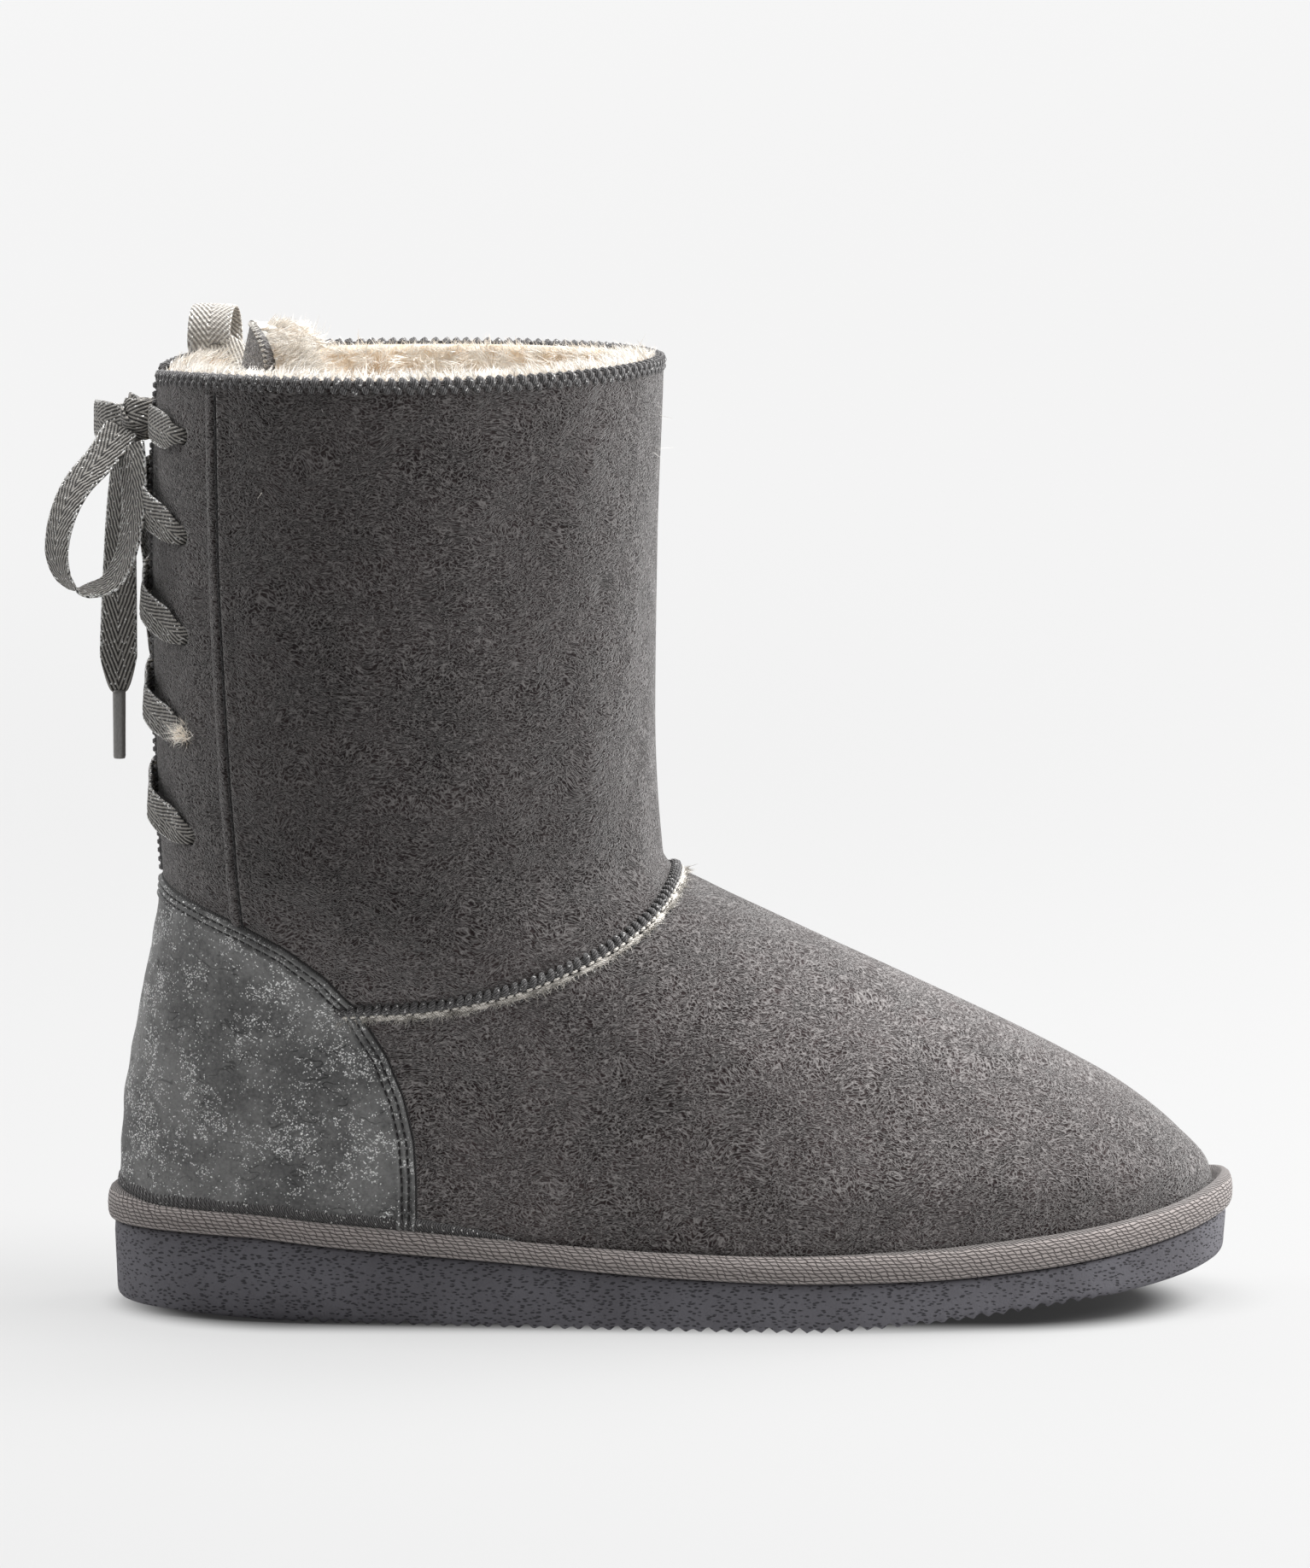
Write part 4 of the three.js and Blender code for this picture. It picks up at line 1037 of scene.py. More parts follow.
foxing = {"high": 3.4, "out": 1.0, "rib": 1.25, "ribDeep": 0.16, "to": -38, "fade": 26, "columns": 900}


def makeFoxing():
    # a dark ribbed strip between the upper and the welt, round the heel and running out before the instep
    end = float(turnFor(np.array(foxing["to"]), np.array(22.0)))
    turn = np.linspace(-end, end, foxing["columns"])
    x = skinAt(turn, 0.25)[:, 0]
    seat = soleRim(x) + 0.8 * weltRise(x)
    run = runOf(skinUp(turn, seat))
    high = 0.2 * weltRise(x) + foxing["high"] * np.clip((foxing["to"] - x) / foxing["fade"], 0, 1) ** 0.6
    rows = np.array([(0.0, 0.6), (0.3, 1.0), (0.6, 1.05), (0.85, 0.9), (1.0, 0.5), (1.02, -0.3)])
    rib = foxing["ribDeep"] * np.cos(run * tau / foxing["rib"])
    points = np.stack([skinUp(turn, seat + up * high, out * foxing["out"] + rib * (out > 0)) for up, out in rows])
    build = Build()
    build.grid(points, patternOf(points))
    build.piece("ribbed_strip", "overcast", "stitching")


makeOutsole()
makeWelt()
makeFoxing()
print("stage: sole and welt made")


# Counter: glitter leather over the heel, its edge folded under and sewn down twice
counter = {
    "length": 65.5, "top": 108, "thick": 0.5, "band": 4.4, "bandProud": 0.75, "rows": 44, "sewn": (1.5, 3.3),
    "pitch": 2.35,
    "bar": [(-0.9, 0, 0.1, 0.1), (-0.75, 0, 0.6, 0.9), (0, 0, 0.72, 1), (0.75, 0, 0.6, 0.9), (0.9, 0, 0.1, 0.1)],
}
counterRows = [
    (0.0, 1.0), (0.07, 0.97), (0.2, 0.935), (0.36, 0.89), (0.51, 0.835), (0.66, 0.755), (0.79, 0.65), (0.89, 0.535),
    (0.955, 0.41), (0.99, 0.29), (1.0, 0.17), (1.0, 0.0),
]


def counterEdge():
    # the edge's turn and height from the foot of the outer side up to the middle of the back
    rows = np.array(counterRows, float)
    x = shaftBack + rows[:, 0] * counter["length"]
    z = boot["heelRim"] + rows[:, 1] * (counter["top"] - boot["heelRim"])
    line = softened(spaced(np.stack([x, z], -1), 0.5), 6)
    line = line[line[:, 1] > soleRim(line[:, 0]) + weltRise(line[:, 0]) + 0.6][::-1]
    back = sliceEnds(levelOf(line[:, 1]))[0]
    line = line[line[:, 0] > back + 0.02]
    turn = turnFor(line[:, 0], line[:, 1])
    turn = np.append(turn, 0.0)
    height = np.append(line[:, 1], line[-1, 1] + 0.15)
    fine = spaced(np.column_stack([skinUp(turn, height), turn, height]), 0.9)
    return fine[:, 3], fine[:, 4]


def makeCounter():
    edgeTurn, edgeHeight = bothSides(*counterEdge(), 0)
    count = len(edgeTurn)
    footTurn = np.linspace(edgeTurn[0], edgeTurn[-1], count)
    x = skinAt(footTurn, 0.25)[:, 0]
    footHeight = soleRim(x) + weltRise(x) * 0.75
    footHeight[[0, -1]] = edgeHeight[[0, -1]] - 0.8
    # shares of the way from the edge to the foot: close together under the folded band
    span = np.linalg.norm(skinUp(edgeTurn, edgeHeight) - skinUp(footTurn, footHeight), axis=-1)
    near = np.linspace(0, counter["band"] + 1.5, 15)
    away = np.zeros((counter["rows"], count))
    for i in range(count):
        inside = near[near < span[i] * 0.8]
        if len(inside) < 2:
            inside = np.zeros(1)
        marks = np.append(np.linspace(0, 0.34, len(inside)), 1)
        away[:, i] = np.interp(np.linspace(0, 1, counter["rows"]), marks, np.append(inside, span[i]))
    share = away / np.maximum(span, 1e-6)
    t = edgeTurn * (1 - share) + footTurn * share
    z = edgeHeight * (1 - share) + footHeight * share
    base = skinUp(t, z)
    distance = np.full(base.shape[:2], 99.0)  # to the edge
    for point in base[0]:
        distance = np.minimum(distance, np.linalg.norm(base - point, axis=-1))
    band = np.clip(1 - (distance - counter["band"]) / 0.7, 0, 1)
    lip = np.clip(distance / 0.8, 0, 1)
    lip = np.sqrt(lip * (2 - lip))
    sewn = sum(np.exp(-(((distance - row) / 0.5) ** 2)) for row in counter["sewn"])
    crumple = 0.18 * np.sin(base[..., 2] * 0.5 + base[..., 0] * 0.23) * np.sin(base[..., 0] * 0.41 - base[..., 1] * 0.3)
    out = 0.05 + counter["thick"] * lip + counter["bandProud"] * band * lip - 0.75 * sewn
    outer = skinUp(t, z, out + (0.2 + crumple) * (1 - band) * lip)
    build = Build()
    build.slab(outer, skinUp(t, z, -0.2), patternOf(outer))
    build.piece("glitter_counter", "counter", "glitter_leather", "heel_counter")
    # rows of stitches, each a short dark bar in the dent that it pulls
    rail = Rail(base[0], outwardUp(edgeTurn, edgeHeight))
    sign = rail.facing(len(rail.table) // 2, 2)
    sewing = Build()
    for row in counter["sewn"]:
        starts = np.arange(2.5, rail.length - 2.5, counter["pitch"])
        stitches(sewing, rail, starts, np.array(counter["bar"]) - (0, row, 0, 0), 0.38, sign, flat=0.8, jitter=0.05)
    along = np.linspace(0, rail.length, 400)  # a dark thread laid as a painted shadow line where the folded edge meets the suede
    tubes(sewing, rail.at(along, sign * 0.18, -0.12), rail.outward(along), 0.42)
    sewing.piece("counter_stitches_and_shadow_line", "darkThread", "stitching")


makeCounter()
print("stage: counter made")


# Overcast edges: a fat loop of thread over the edge again and again
overcast = {
    "pitch": 2.7,
    "radius": 0.98,
    # along, up from the rim, out, thickness: a knob on the face and over the edge, and the row of knobs below
    "loop": [
        (0.5, -2.3, -0.2, 0.3), (0.4, -1.9, 0.15, 0.8), (0.15, -1.25, 0.3, 1.12), (-0.1, -0.6, 0.1, 1.1),
        (-0.25, -0.4, -0.7, 0.95), (-0.1, -0.6, -1.7, 0.9), (0.05, -1.6, -2.5, 0.6), (0.1, -2.2, -2.3, 0.2),
    ],
    "low": [
        (0.8, -3.7, -0.2, 0.3), (0.7, -3.4, 0.05, 0.7), (0.45, -2.75, 0.25, 1.05), (0.15, -2.05, 0.1, 0.9),
        (0.0, -1.5, -0.3, 0.3),
    ],
}


def makeBinding():
    build = Build()
    turn = np.linspace(slitTurn(boot["collar"]) + 0.01, tau - slitTurn(boot["collar"]) - 0.01, 900)
    x = upperPoint(turn, 2.0)[:, 0]
    level = levelOf(rimLine(x) + 0.5)
    points = skinAt(turn, level, -0.5)
    rail = Rail(points, skinAt(turn, level, 0.5) - points)
    sign = rail.facing(300, 2)
    starts = np.arange(0.9, rail.length - 0.6, overcast["pitch"])
    for name, shift in (("loop", 0), ("low", overcast["pitch"] / 2)):
        stitches(build, rail, starts + shift, overcast[name], overcast["radius"], sign, sides=8)
    # a thin thread drawn along the foot of the loops
    along = np.linspace(0, rail.length, 1100)
    wave = 0.3 * np.sin(along * tau / overcast["pitch"])
    tubes(build, rail.at(along, sign * (-4.1 + wave), 0.05), rail.outward(along), 0.25)
    build.piece("overcast_collar", "overcast", "stitching", "collar_binding")


def makeSlitEdges():
    build = Build()
    loop = np.array(overcast["loop"]) * (1, 1, 0.8, 0.8) + (0, 0.9, 0, 0)
    for side in (1, -1):
        z = np.linspace(slit["bottom"] + 1.5, boot["collar"] - 4.5, 500)
        rail = railUp(side * slitTurn(z), z)
        starts = np.arange(1.5, rail.length - 1, overcast["pitch"] * 0.78)
        stitches(build, rail, starts, loop, overcast["radius"], side * rail.facing(250, 1), jitter=0.15)
    build.piece("overcast_slit_edges", "overcast", "stitching")


seam = {
    "pitch": 2.35, "pile": 26,
    # the loops, a thinner row of threads below the cream line, and the cream thread's dashes
    "loop": [
        (0.9, 2.0, 0.0, 0.3), (0.7, 1.9, 0.6, 0.8), (0.45, 1.3, 1.15, 1.05), (0.1, 0.6, 1.3, 1.05),
        (-0.3, 0.0, 0.9, 0.9), (-0.5, -0.3, 0.3, 0.4),
    ],
    "low": [(0.6, -2.1, 0.0, 0.4), (0.4, -2.3, 0.35, 1), (-0.1, -2.75, 0.4, 1), (-0.4, -3.1, 0.0, 0.4)],
    "dash": [(-0.8, -0.72, 0.7, 0.4), (-0.5, -0.68, 1.15, 1), (0.5, -0.62, 1.15, 1), (0.8, -0.6, 0.7, 0.4)],
}


def seamRail():
    rows = np.array(seamRows, float)
    x = smoothCurve(rows[:, 1], rows[:, 0])
    up = np.concatenate([np.linspace(0.71, 0.99, 2000), np.linspace(0.99, 1.03, 3000)])
    places = np.stack([shaftBack + x(up) * boot["shaftDepth"], up * boot["instep"]], -1)
    front = sliceEnds(levelOf(places[:, 1]))[1]
    places = places[places[:, 0] < front]
    turn = turnFor(places[:, 0], places[:, 1])
    turn = np.append(turn, math.pi)
    z = np.append(places[:, 1], places[-1, 1])
    keep = turn > turnFor(shaftBack + counter["length"] - 19.5, 78.0)
    turn, z = bothSides(turn[keep], z[keep], math.pi)
    line = softened(spaced(np.column_stack([skinUp(turn, z), turn, z]), 0.7), 10)
    return railUp(line[:, 3], line[:, 4])


def makeSeam():
    rail = seamRail()
    sign = rail.facing(20, 2)
    starts = np.arange(1.2, rail.length - 1, seam["pitch"])
    along = np.linspace(0, rail.length, 260)
    outward = rail.outward(along)
    build, dashes = Build(), Build()
    tubes(build, rail.at(along, sign * 0.3, 0.35), outward, 1.0, sides=10, flat=0.8)  # a core under the loops
    for target, name, shift, radius, sides, jitter in (
        (build, "loop", 0, 0.78, 8, 0.1), (build, "low", 0.6, 0.36, 6, 0.12), (dashes, "dash", 0.9, 0.34, 6, 0.2),
    ):
        stitches(target, rail, starts + shift, seam[name], radius, sign, sides, jitter=jitter)
    dashes.piece("instep_seam_thread", "creamThread", "stitching")
    for end, toward in ((0.0, 1), (rail.length, -1)):  # the knob where the row starts and ends
        path = rail.at(end + toward * np.array([-0.4, 0.3, 1.2, 2.0]), sign * 0.5, [0.2, 0.7, 0.7, 0.2])
        tubes(build, path, outward[:4], [0.5, 1.5, 1.5, 0.6], sides=10)
    build.piece("overcast_instep_seam", "overcast", "stitching", "instep_seam")
    pile = Build()
    count = int(rail.length * seam["pile"])
    at = rng.random(count) * rail.length
    here = 0.5 + 0.5 * np.sin(at * 0.37) * np.sin(at * 0.113 + 1.0)
    keep = rng.random(count) < 0.2 + 0.8 * here
    at, n = at[keep], keep.sum()
    root = rail.at(at, sign * (-1.3 + 0.25 * rng.standard_normal(n)), 0.3)
    tip = rail.at(
        at + rng.standard_normal(n) * 0.9, sign * (-2.2 + 0.4 * rng.standard_normal(n)), 1.0 + 0.3 * rng.random(n)
    )
    length = np.linalg.norm(tip - root, axis=-1) * (0.8 + 0.5 * rng.random(n))
    hairs(pile, root, unit(tip - root), length, 0.22, rng.standard_normal((n, 3)) * 0.25)
    core = rail.at(along, sign * (-1.55 + 0.12 * np.sin(along * 2.3)), 0.36)
    tubes(pile, core, outward, 0.6 + 0.3 * np.sin(along * 0.9) * np.sin(along * 0.31 + 2), sides=8, flat=0.8)
    pile.piece("cream_seam_pile", "creamThread", "fur")


backSeams = {
    "at": (-111.2, -110.6, -109.1, -105.4, -104.4), "up": (231, 190, 155, 101, 96),
    # forward of the groove and out of the suede: the ridge behind it and the edge before it
    "ridge": [(-3.6, -0.15), (-3.1, 0.12), (-2.6, 0.42), (-1.8, 0.6), (-1.0, 0.58), (-0.55, 0.35), (-0.4, -0.2)],
    "edge": [(0.35, -0.2), (0.5, 0.22), (1.1, 0.36), (2.0, 0.26), (3.2, 0.08), (4.2, -0.12)],
    "bar": [(-0.9, 0.1, 0.0, 0.3), (-0.45, 0.1, 0.3, 1), (0.45, 0.1, 0.3, 1), (0.9, 0.1, 0.0, 0.3)],
}


def makeBackSeams():
    x = smoothCurve(backSeams["up"][::-1], backSeams["at"][::-1])
    build, sewing = Build(), Build()
    for side in (1, -1):
        z = np.linspace(backSeams["up"][-1] + 3, backSeams["up"][0] - 1, 300)
        rail = railUp(turnFor(x(z), z) * side, z)
        ahead = rail.facing(150, 0)
        along = np.linspace(0, rail.length, 260)
        for name in ("ridge", "edge"):
            profile = np.array(backSeams[name])
            strip = rail.at(along[:, None], ahead * profile[:, 0], profile[:, 1])
            build.grid(strip, pairs(profile[:, 0] + 40, along[:, None]), flip=side * ahead < 0)
        tubes(sewing, rail.at(along, 0, -0.16), rail.outward(along), 0.34)
        stitches(sewing, rail, np.arange(1, rail.length - 1, 2.4), backSeams["bar"], 0.26, 1, flat=0.8, jitter=0.06)
    build.piece("back_seams", "suede", "suede")
    sewing.piece("back_seam_stitches", "darkThread", "stitching")


makeBinding()
makeSlitEdges()
makeSeam()
makeBackSeams()
print("stage: stitching made")


# Fur lining
fur = {
    "rows": 84, "backColumns": 14, "frontColumns": 60, "sleeveRise": -0.6, "hairs": 40000, "locks": 520, "reach": 24,
    "width": 0.3, "farLow": 1.9, "onTop": 0.36, "topDepth": 5.2,
    # shortest hair and what is added at random, on the rim and down the inside
    "rimHair": (1.6, 1.9), "deepHair": (3.4, 3.2),
}
pileFoot = -boot["wall"] - boot["gap"]


def lump(p, size, seed):
    # soft lumps from a few crossing waves
    total = np.zeros(p.shape[:-1])
    waves = np.random.default_rng(seed)
    for _ in range(9):
        way = waves.standard_normal(3)
        way /= np.linalg.norm(way)
        total += np.sin(p @ way * tau / (size * (0.7 + 0.9 * waves.random())) + waves.random() * tau)
    return total / 4.5


def makeLining():
    turn, z = upperGrid(fur, fur["sleeveRise"], boot["insole"] + 2 * boot["gap"])
    place = skinUp(turn, z, pileFoot)
    depth = boot["pile"] + 0.9 * lump(place, 9, 3) + 0.5 * lump(place, 4, 4)
    inner = skinUp(turn, z, pileFoot - depth)
    rim = np.clip((z - rimLine(place[..., 0])) / 1.2 + 1, 0, 1)
    inner[..., 2] += rim * (0.8 * lump(place, 5, 5))
    build = Build()
    build.slab(place, inner, patternOf(place))
    build.piece("fur_sleeve", "pile", "fur", "fur_lining")


def makeCollarFur():
    # short pile standing along the rim and deeper locks down the inside
    build = Build()
    n = fur["hairs"]
    edge = float(slitTurn(boot["collar"]))
    locks = rng.random((fur["locks"], 2))
    turn = edge + rng.random(n) * (tau - 2 * edge)
    deep = rng.random(n) ** 1.3
    rimZ = rimLine(upperPoint(turn, 2.0)[:, 0])
    onTop = rng.random(n) < fur["onTop"]
    out = np.where(onTop, -boot["wall"] - 0.2 - rng.random(n) * fur["topDepth"], pileFoot - boot["pile"] + 0.6)
    rim = upperPoint(turn, 2.0)
    low = fur["farLow"] * np.clip(rim[:, 1] / 20, 0, 1) * np.clip((rim[:, 0] + 112) / 15, 0, 1)
    z = np.where(onTop, rimZ - 0.9, rimZ - 1.8 - deep * fur["reach"]) - low
    root = skinUp(turn, z, out)
    inward = -outwardUp(turn, z)
    lockTurn = edge + locks[:, 0] * (tau - 2 * edge)
    nearest = np.argmin(np.abs(turn[:, None] - lockTurn[None]) * 2 + 0.2 * np.abs(deep[:, None] - locks[None, :, 1]), 1)
    lean = np.random.default_rng(8).standard_normal((len(locks), 3)) * np.array([0.36, 0.36, 0.2])
    up = np.array([0, 0, 1.0])
    way = np.where(onTop[:, None], up * 0.75 + inward * 0.45, inward * 0.85 + up * 0.2)
    way = unit(way + lean[nearest] * np.where(onTop, 0.6, 1)[:, None] + rng.standard_normal((n, 3)) * 0.2)
    pull = lean[nearest] * 0.6 + inward * np.where(onTop, 0.5, 0.0)[:, None]
    short, deepest = (least + more * rng.random(n) for least, more in (fur["rimHair"], fur["deepHair"]))
    length = np.where(onTop, short, deepest) * (0.7 + 0.6 * locks[nearest, 1])
    hairs(build, root, way, length, fur["width"], pull + rng.standard_normal((n, 3)) * 0.18)
    build.piece("collar_fur", "fur", "fur")


def makeInsole():
    rows, count = 26, 120
    turn = np.arange(count) * tau / count
    share = np.linspace(1, 0.02, rows)
    level = np.full(count, 0.22)
    for _ in range(6):
        x = skinAt(turn, level, pileFoot)[:, 0]
        level = levelOf(soleRim(x) + boot["gap"] + boot["insole"])
    edge = skinAt(turn, level, pileFoot - 0.1)
    x = np.linspace(-halfLength, halfLength, 60)
    middle = np.stack([edge[:, 0], np.interp(edge[:, 0], x, swing(x)), edge[:, 2]], -1)
    top = middle[None] + (edge - middle)[None] * share[:, None, None]
    top[..., 2] = soleRim(top[..., 0]) + boot["gap"] + boot["insole"] + 0.35 * lump(top, 6, 9) - 0.3
    foot = top[0].copy()
    foot[:, 2] = soleRim(foot[:, 0]) + boot["gap"]
    points = np.concatenate([foot[None], top])
    build = Build()
    places = np.concatenate([points[..., :2], points[:, :1, :2]], 1)
    build.grid(points, places, wrap=True)
    build.piece("fur_insole", "pile", "fur", "insole")


makeLining()
makeCollarFur()
makeInsole()
print("stage: fur made")


# Tongue behind the slit: suede outside, fur inside
tongue = {
    "thick": 4, "top": 244, "foot": 101, "topWidth": 36, "footWidth": 26, "lean": 16, "corner": 15, "leather": 1.4,
    "puff": 4, "puffFrom": 224, "rows": 90, "columns": 33, "hairs": 18000, "locks": 97,
}


def tongueHalf(z):
    share = np.clip((z - tongue["foot"]) / (tongue["top"] - tongue["corner"] - tongue["foot"]), 0, 1)
    half = tongue["footWidth"] / 2 + (tongue["topWidth"] - tongue["footWidth"]) / 2 * share
    top = np.clip((z - tongue["top"] + tongue["corner"]) / tongue["corner"], 0, 1)
    return half - tongue["corner"] * (1 - np.sqrt(np.maximum(0, 1 - top**2)))


def tonguePlace(y, z, out):
    # the place at that way across and up, set out from the tongue's back face
    share = np.clip((z - tongue["foot"]) / (tongue["top"] - tongue["foot"]), 0, 1.1)
    depth = boot["wall"] + boot["pile"] + 3 * boot["gap"] + tongue["lean"] * share**2 - out
    turn = turnAt(-y)
    for _ in range(8):
        p, normal = surface(turn, levelOf(z))
        here = p[..., 1] - normal[..., 1] * depth
        ratio = np.where(np.abs(y) > 0.05, y / np.where(np.abs(here) > 0.01, here, 1), 1)
        turn = np.arcsin(np.clip(np.sin(turn) * np.clip(ratio, 0.5, 2), -0.98, 0.98))
    p, normal = surface(turn, levelOf(z))
    return p - normal * depth[..., None]


def puffAt(z):
    return tongue["puff"] * np.clip((z - tongue["puffFrom"]) / 14, 0, 1)


def makeTongue():
    share = 1 - (1 - np.linspace(0, 1, tongue["rows"])) ** 1.25
    across = np.linspace(-1, 1, tongue["columns"])[None]
    z = tongue["foot"] + share[:, None] * (tongue["top"] - tongue["foot"]) + across * 0
    y = across * np.maximum(tongueHalf(z), 0.5)
    back, front, furFront = (tonguePlace(y, z, -thick) for thick in (0, tongue["leather"], tongue["thick"]))
    normal = unit(back - furFront)
    puff = puffAt(z) * (1 - 0.5 * np.clip((z - 240) / 4, 0, 1))
    furFront = furFront + normal * (0.7 * lump(furFront, 6, 12) + 0.3 - puff)[..., None]
    build, pile = Build(), Build()
    places = patternOf(back)
    build.slab(back, front, places)
    build.piece("suede_tongue", "tongueSuede", "suede", "back_tongue")
    pile.slab(front - normal * 0.15, furFront, places)
    n = tongue["hairs"]
    # hairs on the fur side, thick at the top
    hz = tongue["top"] - 0.8 - 34 * rng.random(n) ** 1.7
    hy = np.clip((rng.random(n) * 2 - 1) * 1.4, -1, 1) * np.maximum(tongueHalf(hz) - 0.5, 0.5)
    atSide = np.abs(hy) > tongueHalf(hz) - 0.7
    puffed = puffAt(hz)
    thick = np.where(
        atSide, tongue["leather"] + 0.6 + rng.random(n) * (3.2 + puffed), tongue["thick"] + puffed * rng.random(n)
    )
    root = tonguePlace(hy, hz, 0.6 - thick)
    outward = unit(root - tonguePlace(hy, hz, 0))
    lockId = (np.floor(hy / 3.2) * 7 + np.floor(hz / 4)).astype(int) % tongue["locks"]
    lean = np.random.default_rng(15).standard_normal((tongue["locks"], 3)) * 0.35
    sideways = np.where(atSide, np.sign(hy), 0)[:, None] * np.array([0, 0.9, 0])
    way = outward * 0.95 + sideways - np.array([0, 0, 0.05]) + lean[lockId]
    way = unit(way + rng.standard_normal((n, 3)) * 0.2)
    length = (3.5 + 4.5 * rng.random(n)) * (1 - 0.5 * np.clip((hz - 232) / 10, 0, 1))
    hairs(pile, root, way, length, fur["width"], lean[lockId] * 0.6 + rng.standard_normal((n, 3)) * 0.18)
    pile.piece("fur_tongue_lining", "fur", "fur")
    # overcast edge up one side, over the top and down the other
    corner = tongue["top"] - tongue["corner"]
    arc = tongue["top"] - tongue["corner"] * (1 - np.sin(np.linspace(0.02, math.pi / 2, 30)))
    edgeZ = np.concatenate([np.linspace(150, corner, 80), arc])
    edgeY = tongueHalf(edgeZ) - 0.6
    line = np.concatenate([np.stack([-edgeY, edgeZ], -1), np.stack([edgeY[::-1], edgeZ[::-1]], -1)])
    y, z = spaced(line, 0.8).T
    points = tonguePlace(y, z, 0)
    rail = Rail(points, points - tonguePlace(y, z, -1))
    sign = rail.facing(len(rail.table) // 2, 2)
    loop = np.array(overcast["loop"]) * (0.7, 0.35, 0.6, 0.5) + (0, 0.3, 0, 0)
    edge = Build()
    stitches(edge, rail, np.arange(1, rail.length - 1, 1.5), loop, overcast["radius"], sign, flat=0.75, jitter=0.12)
    edge.piece("overcast_tongue_edge", "paleTape", "stitching")


# Pull loop over the inner side of the collar
pull = {"width": 11, "rise": 9.2, "leg": 13, "slack": 2.2, "reach": 33, "binding": 0.9, "twist": 59, "shift": 2.0}


def makePullLoop():
    turn = turnAt(-pull["reach"])
    outer = 2 * boot["gap"] + pull["binding"] + tape["thick"] / 2
    inner = -boot["wall"] - boot["pile"] - pull["slack"] - tape["thick"] / 2
    middle, half = (outer + inner) / 2, (outer - inner) / 2
    base, normal = surface(turn, np.asarray(2.0))
    outward = unit(normal * np.array([1, 1, 0]))
    rim = float(collarLine(base[0]))
    a = np.linspace(0, math.pi, 40)
    out = np.concatenate([[outer, outer], middle + half * np.cos(a), [inner, inner]])
    leg = [-pull["leg"], -pull["leg"] / 2]
    up = np.concatenate([leg, 1 + (pull["rise"] - 1) * np.sin(a), leg[::-1]])
    points = base * np.array([1, 1, 0]) + outward * out[:, None] + np.array([0, 0, 1.0]) * (rim + up)[:, None]
    points = spaced(points, tape["step"])
    # above the rim the loop has turned a little towards the outer side
    share = np.clip((points[:, 2] - rim + 6) / 6, 0, 1)
    share = share * share * (3 - 2 * share)
    twist = -math.radians(pull["twist"]) * share

    def twisted(x, y):
        return x * np.cos(twist) - y * np.sin(twist), x * np.sin(twist) + y * np.cos(twist)

    centre = (base + outward * middle)[:2]
    x, y = twisted(*(points[:, :2] - centre).T)
    points[:, 0] = centre[0] + x - pull["shift"] * share
    points[:, 1] = centre[1] + y
    across = np.column_stack([*twisted(-outward[1], outward[0]), twist * 0])
    build = Build()
    ribbon(build, points, across, pull["width"], tape["thick"], weave=pullWeave)
    build.piece("tape_pull_loop", "paleTape", "pull_tape", "pull_loop")


tuft = {"hairs": 420, "row": 1, "width": 0.2, "length": 2.2, "uneven": 2.0, "lean": (0.45, 0, 0.35)}


def makeTuft():
    # a wisp of the lining, drawn out through the outer flap's second hole from below
    n = tuft["hairs"]
    z = float(eyeletHeights[tuft["row"]] + 0.5)
    at = skinUp(turnAt(eyelets["reach"] - 1.2), z, 0.1)
    outward = outwardUp(turnAt(eyelets["reach"]), z)
    root = at + rng.standard_normal((n, 3)) * 0.8 - outward * 0.6
    way = unit(outward * 0.75 + np.array(tuft["lean"]) + rng.standard_normal((n, 3)) * 0.38)
    build = Build()
    length = tuft["length"] + tuft["uneven"] * rng.random(n)
    hairs(build, root, way, length, tuft["width"], rng.standard_normal((n, 3)) * 0.3)
    build.piece("eyelet_tuft", "fur", "fur")


makeTongue()
makePullLoop()
makeTuft()
print("stage: tongue and pull loop made")


# Floor, backdrop and light
studio = {"floor": 0.13, "glow": 0.845, "world": 0.16, "depth": 6.5, "rise": 4.5, "radius": 1.2}


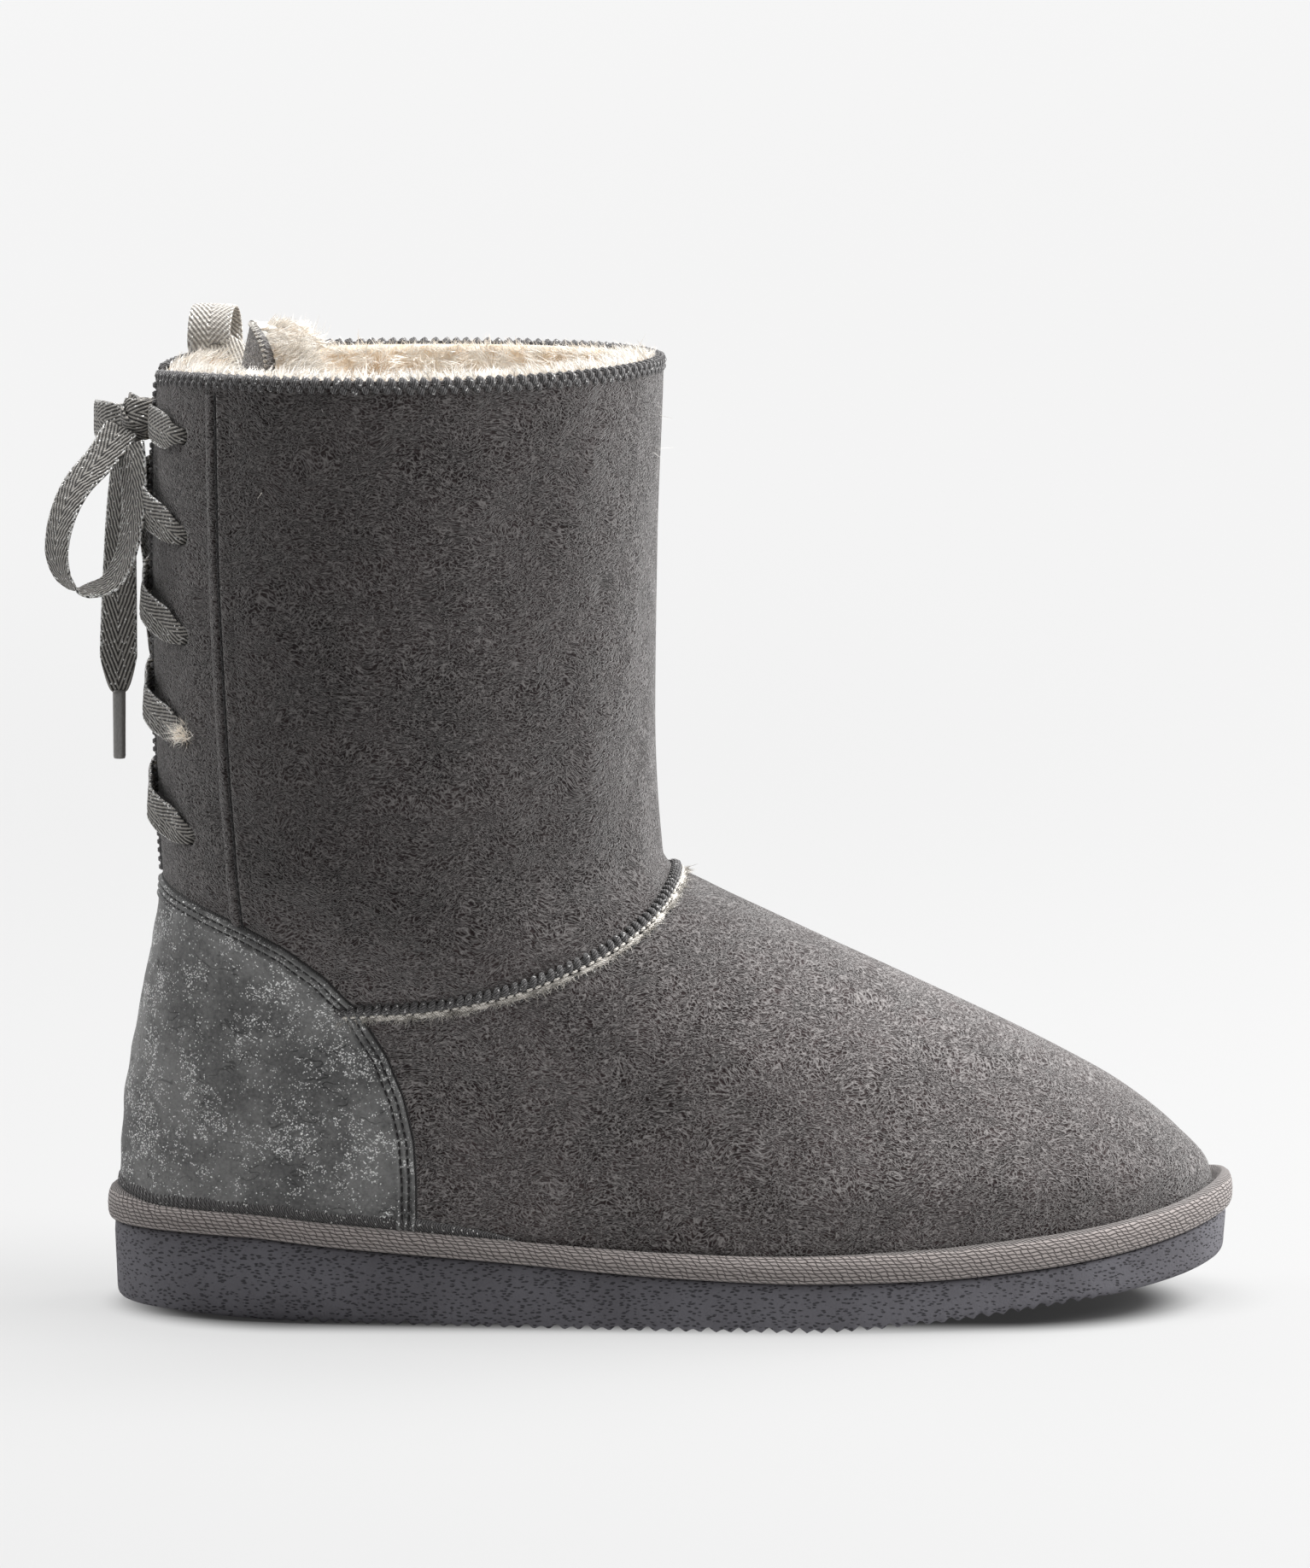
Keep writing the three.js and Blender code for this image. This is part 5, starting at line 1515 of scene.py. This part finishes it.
def floorFinish():
    # an even pale glow, left out where the sole shades the floor, as a painted shadow
    f = Finish("floor", {"Roughness": 0.9, "Specular IOR Level": 0.1, "Emission Strength": studio["glow"]})
    f.shader.inputs["Base Color"].default_value = (studio["floor"],) * 3 + (1,)
    x, y, _ = f.axes(f.place())
    # painted shadow: the glow fades out under the sole, by the distance from its footprint
    beyond = (abs(x + 4) - 88).atLeast(0)
    away = (beyond * beyond + y * y) ** 0.5
    lamps = (1 + ((x * x + y * y) / 2.1e6) ** 2) ** -1  # how much the lamps add to it near the boot
    return f.feed(glow=f.scaled((1, 1, 1), (1 - lamps * 0.33) * (0.05 + away.ramp(32, 51) * 0.95)))


def makeStage():
    depth, radius = studio["depth"], studio["radius"]
    a = np.linspace(0, math.pi / 2, 20)
    profile = [(-depth, 0.0), (depth - radius, 0.0)]
    profile += [(depth - radius + radius * math.sin(t), radius - radius * math.cos(t)) for t in a[1:]]
    profile += [(depth, studio["rise"])]
    points = [(x, y, z) for y, z in profile for x in (-depth, depth)]
    faces = [(2 * i, 2 * i + 1, 2 * i + 3, 2 * i + 2) for i in range(len(profile) - 1)]
    mesh = bpy.data.meshes.new("floor")
    mesh.from_pydata(points, [], faces)
    mesh.polygons.foreach_set("use_smooth", np.full(len(faces), True))
    floor = bpy.data.objects.new("floor", mesh)
    scene.collection.objects.link(floor)
    mesh.materials.append(floorFinish())


def areaLight(name, at, aim, size, power):
    light = bpy.data.lights.new(name, "AREA")
    light.shape = "RECTANGLE"
    light.size, light.size_y = size
    light.energy = power
    made = bpy.data.objects.new(name, light)
    made.location = at
    made.rotation_euler = looking(at, aim)
    scene.collection.objects.link(made)


makeStage()
for name, at, aim, size, power in (
    ("key", (1.3, -0.3, 1.1), (0.02, 0, 0.1), (0.9, 1.0), 27),
    ("rim", (1.2, 0.9, 0.7), (0, 0, 0.12), (0.7, 1.2), 20),
    ("top", (0.1, 0.15, 1.7), (0.02, 0, 0.1), (1.4, 1.1), 46),
    ("back", (-1.3, 0.5, 0.9), (-0.1, 0, 0.15), (0.8, 1.0), 10),
):
    areaLight(name, at, aim, size, power)
world = bpy.data.worlds.new("studio")
scene.world = world
world.use_nodes = True
sky = world.node_tree.nodes["Background"].inputs
sky["Color"].default_value = (1, 1, 1, 1)
sky["Strength"].default_value = studio["world"]
scene.view_settings.view_transform = "Standard"
print("stage: studio made")
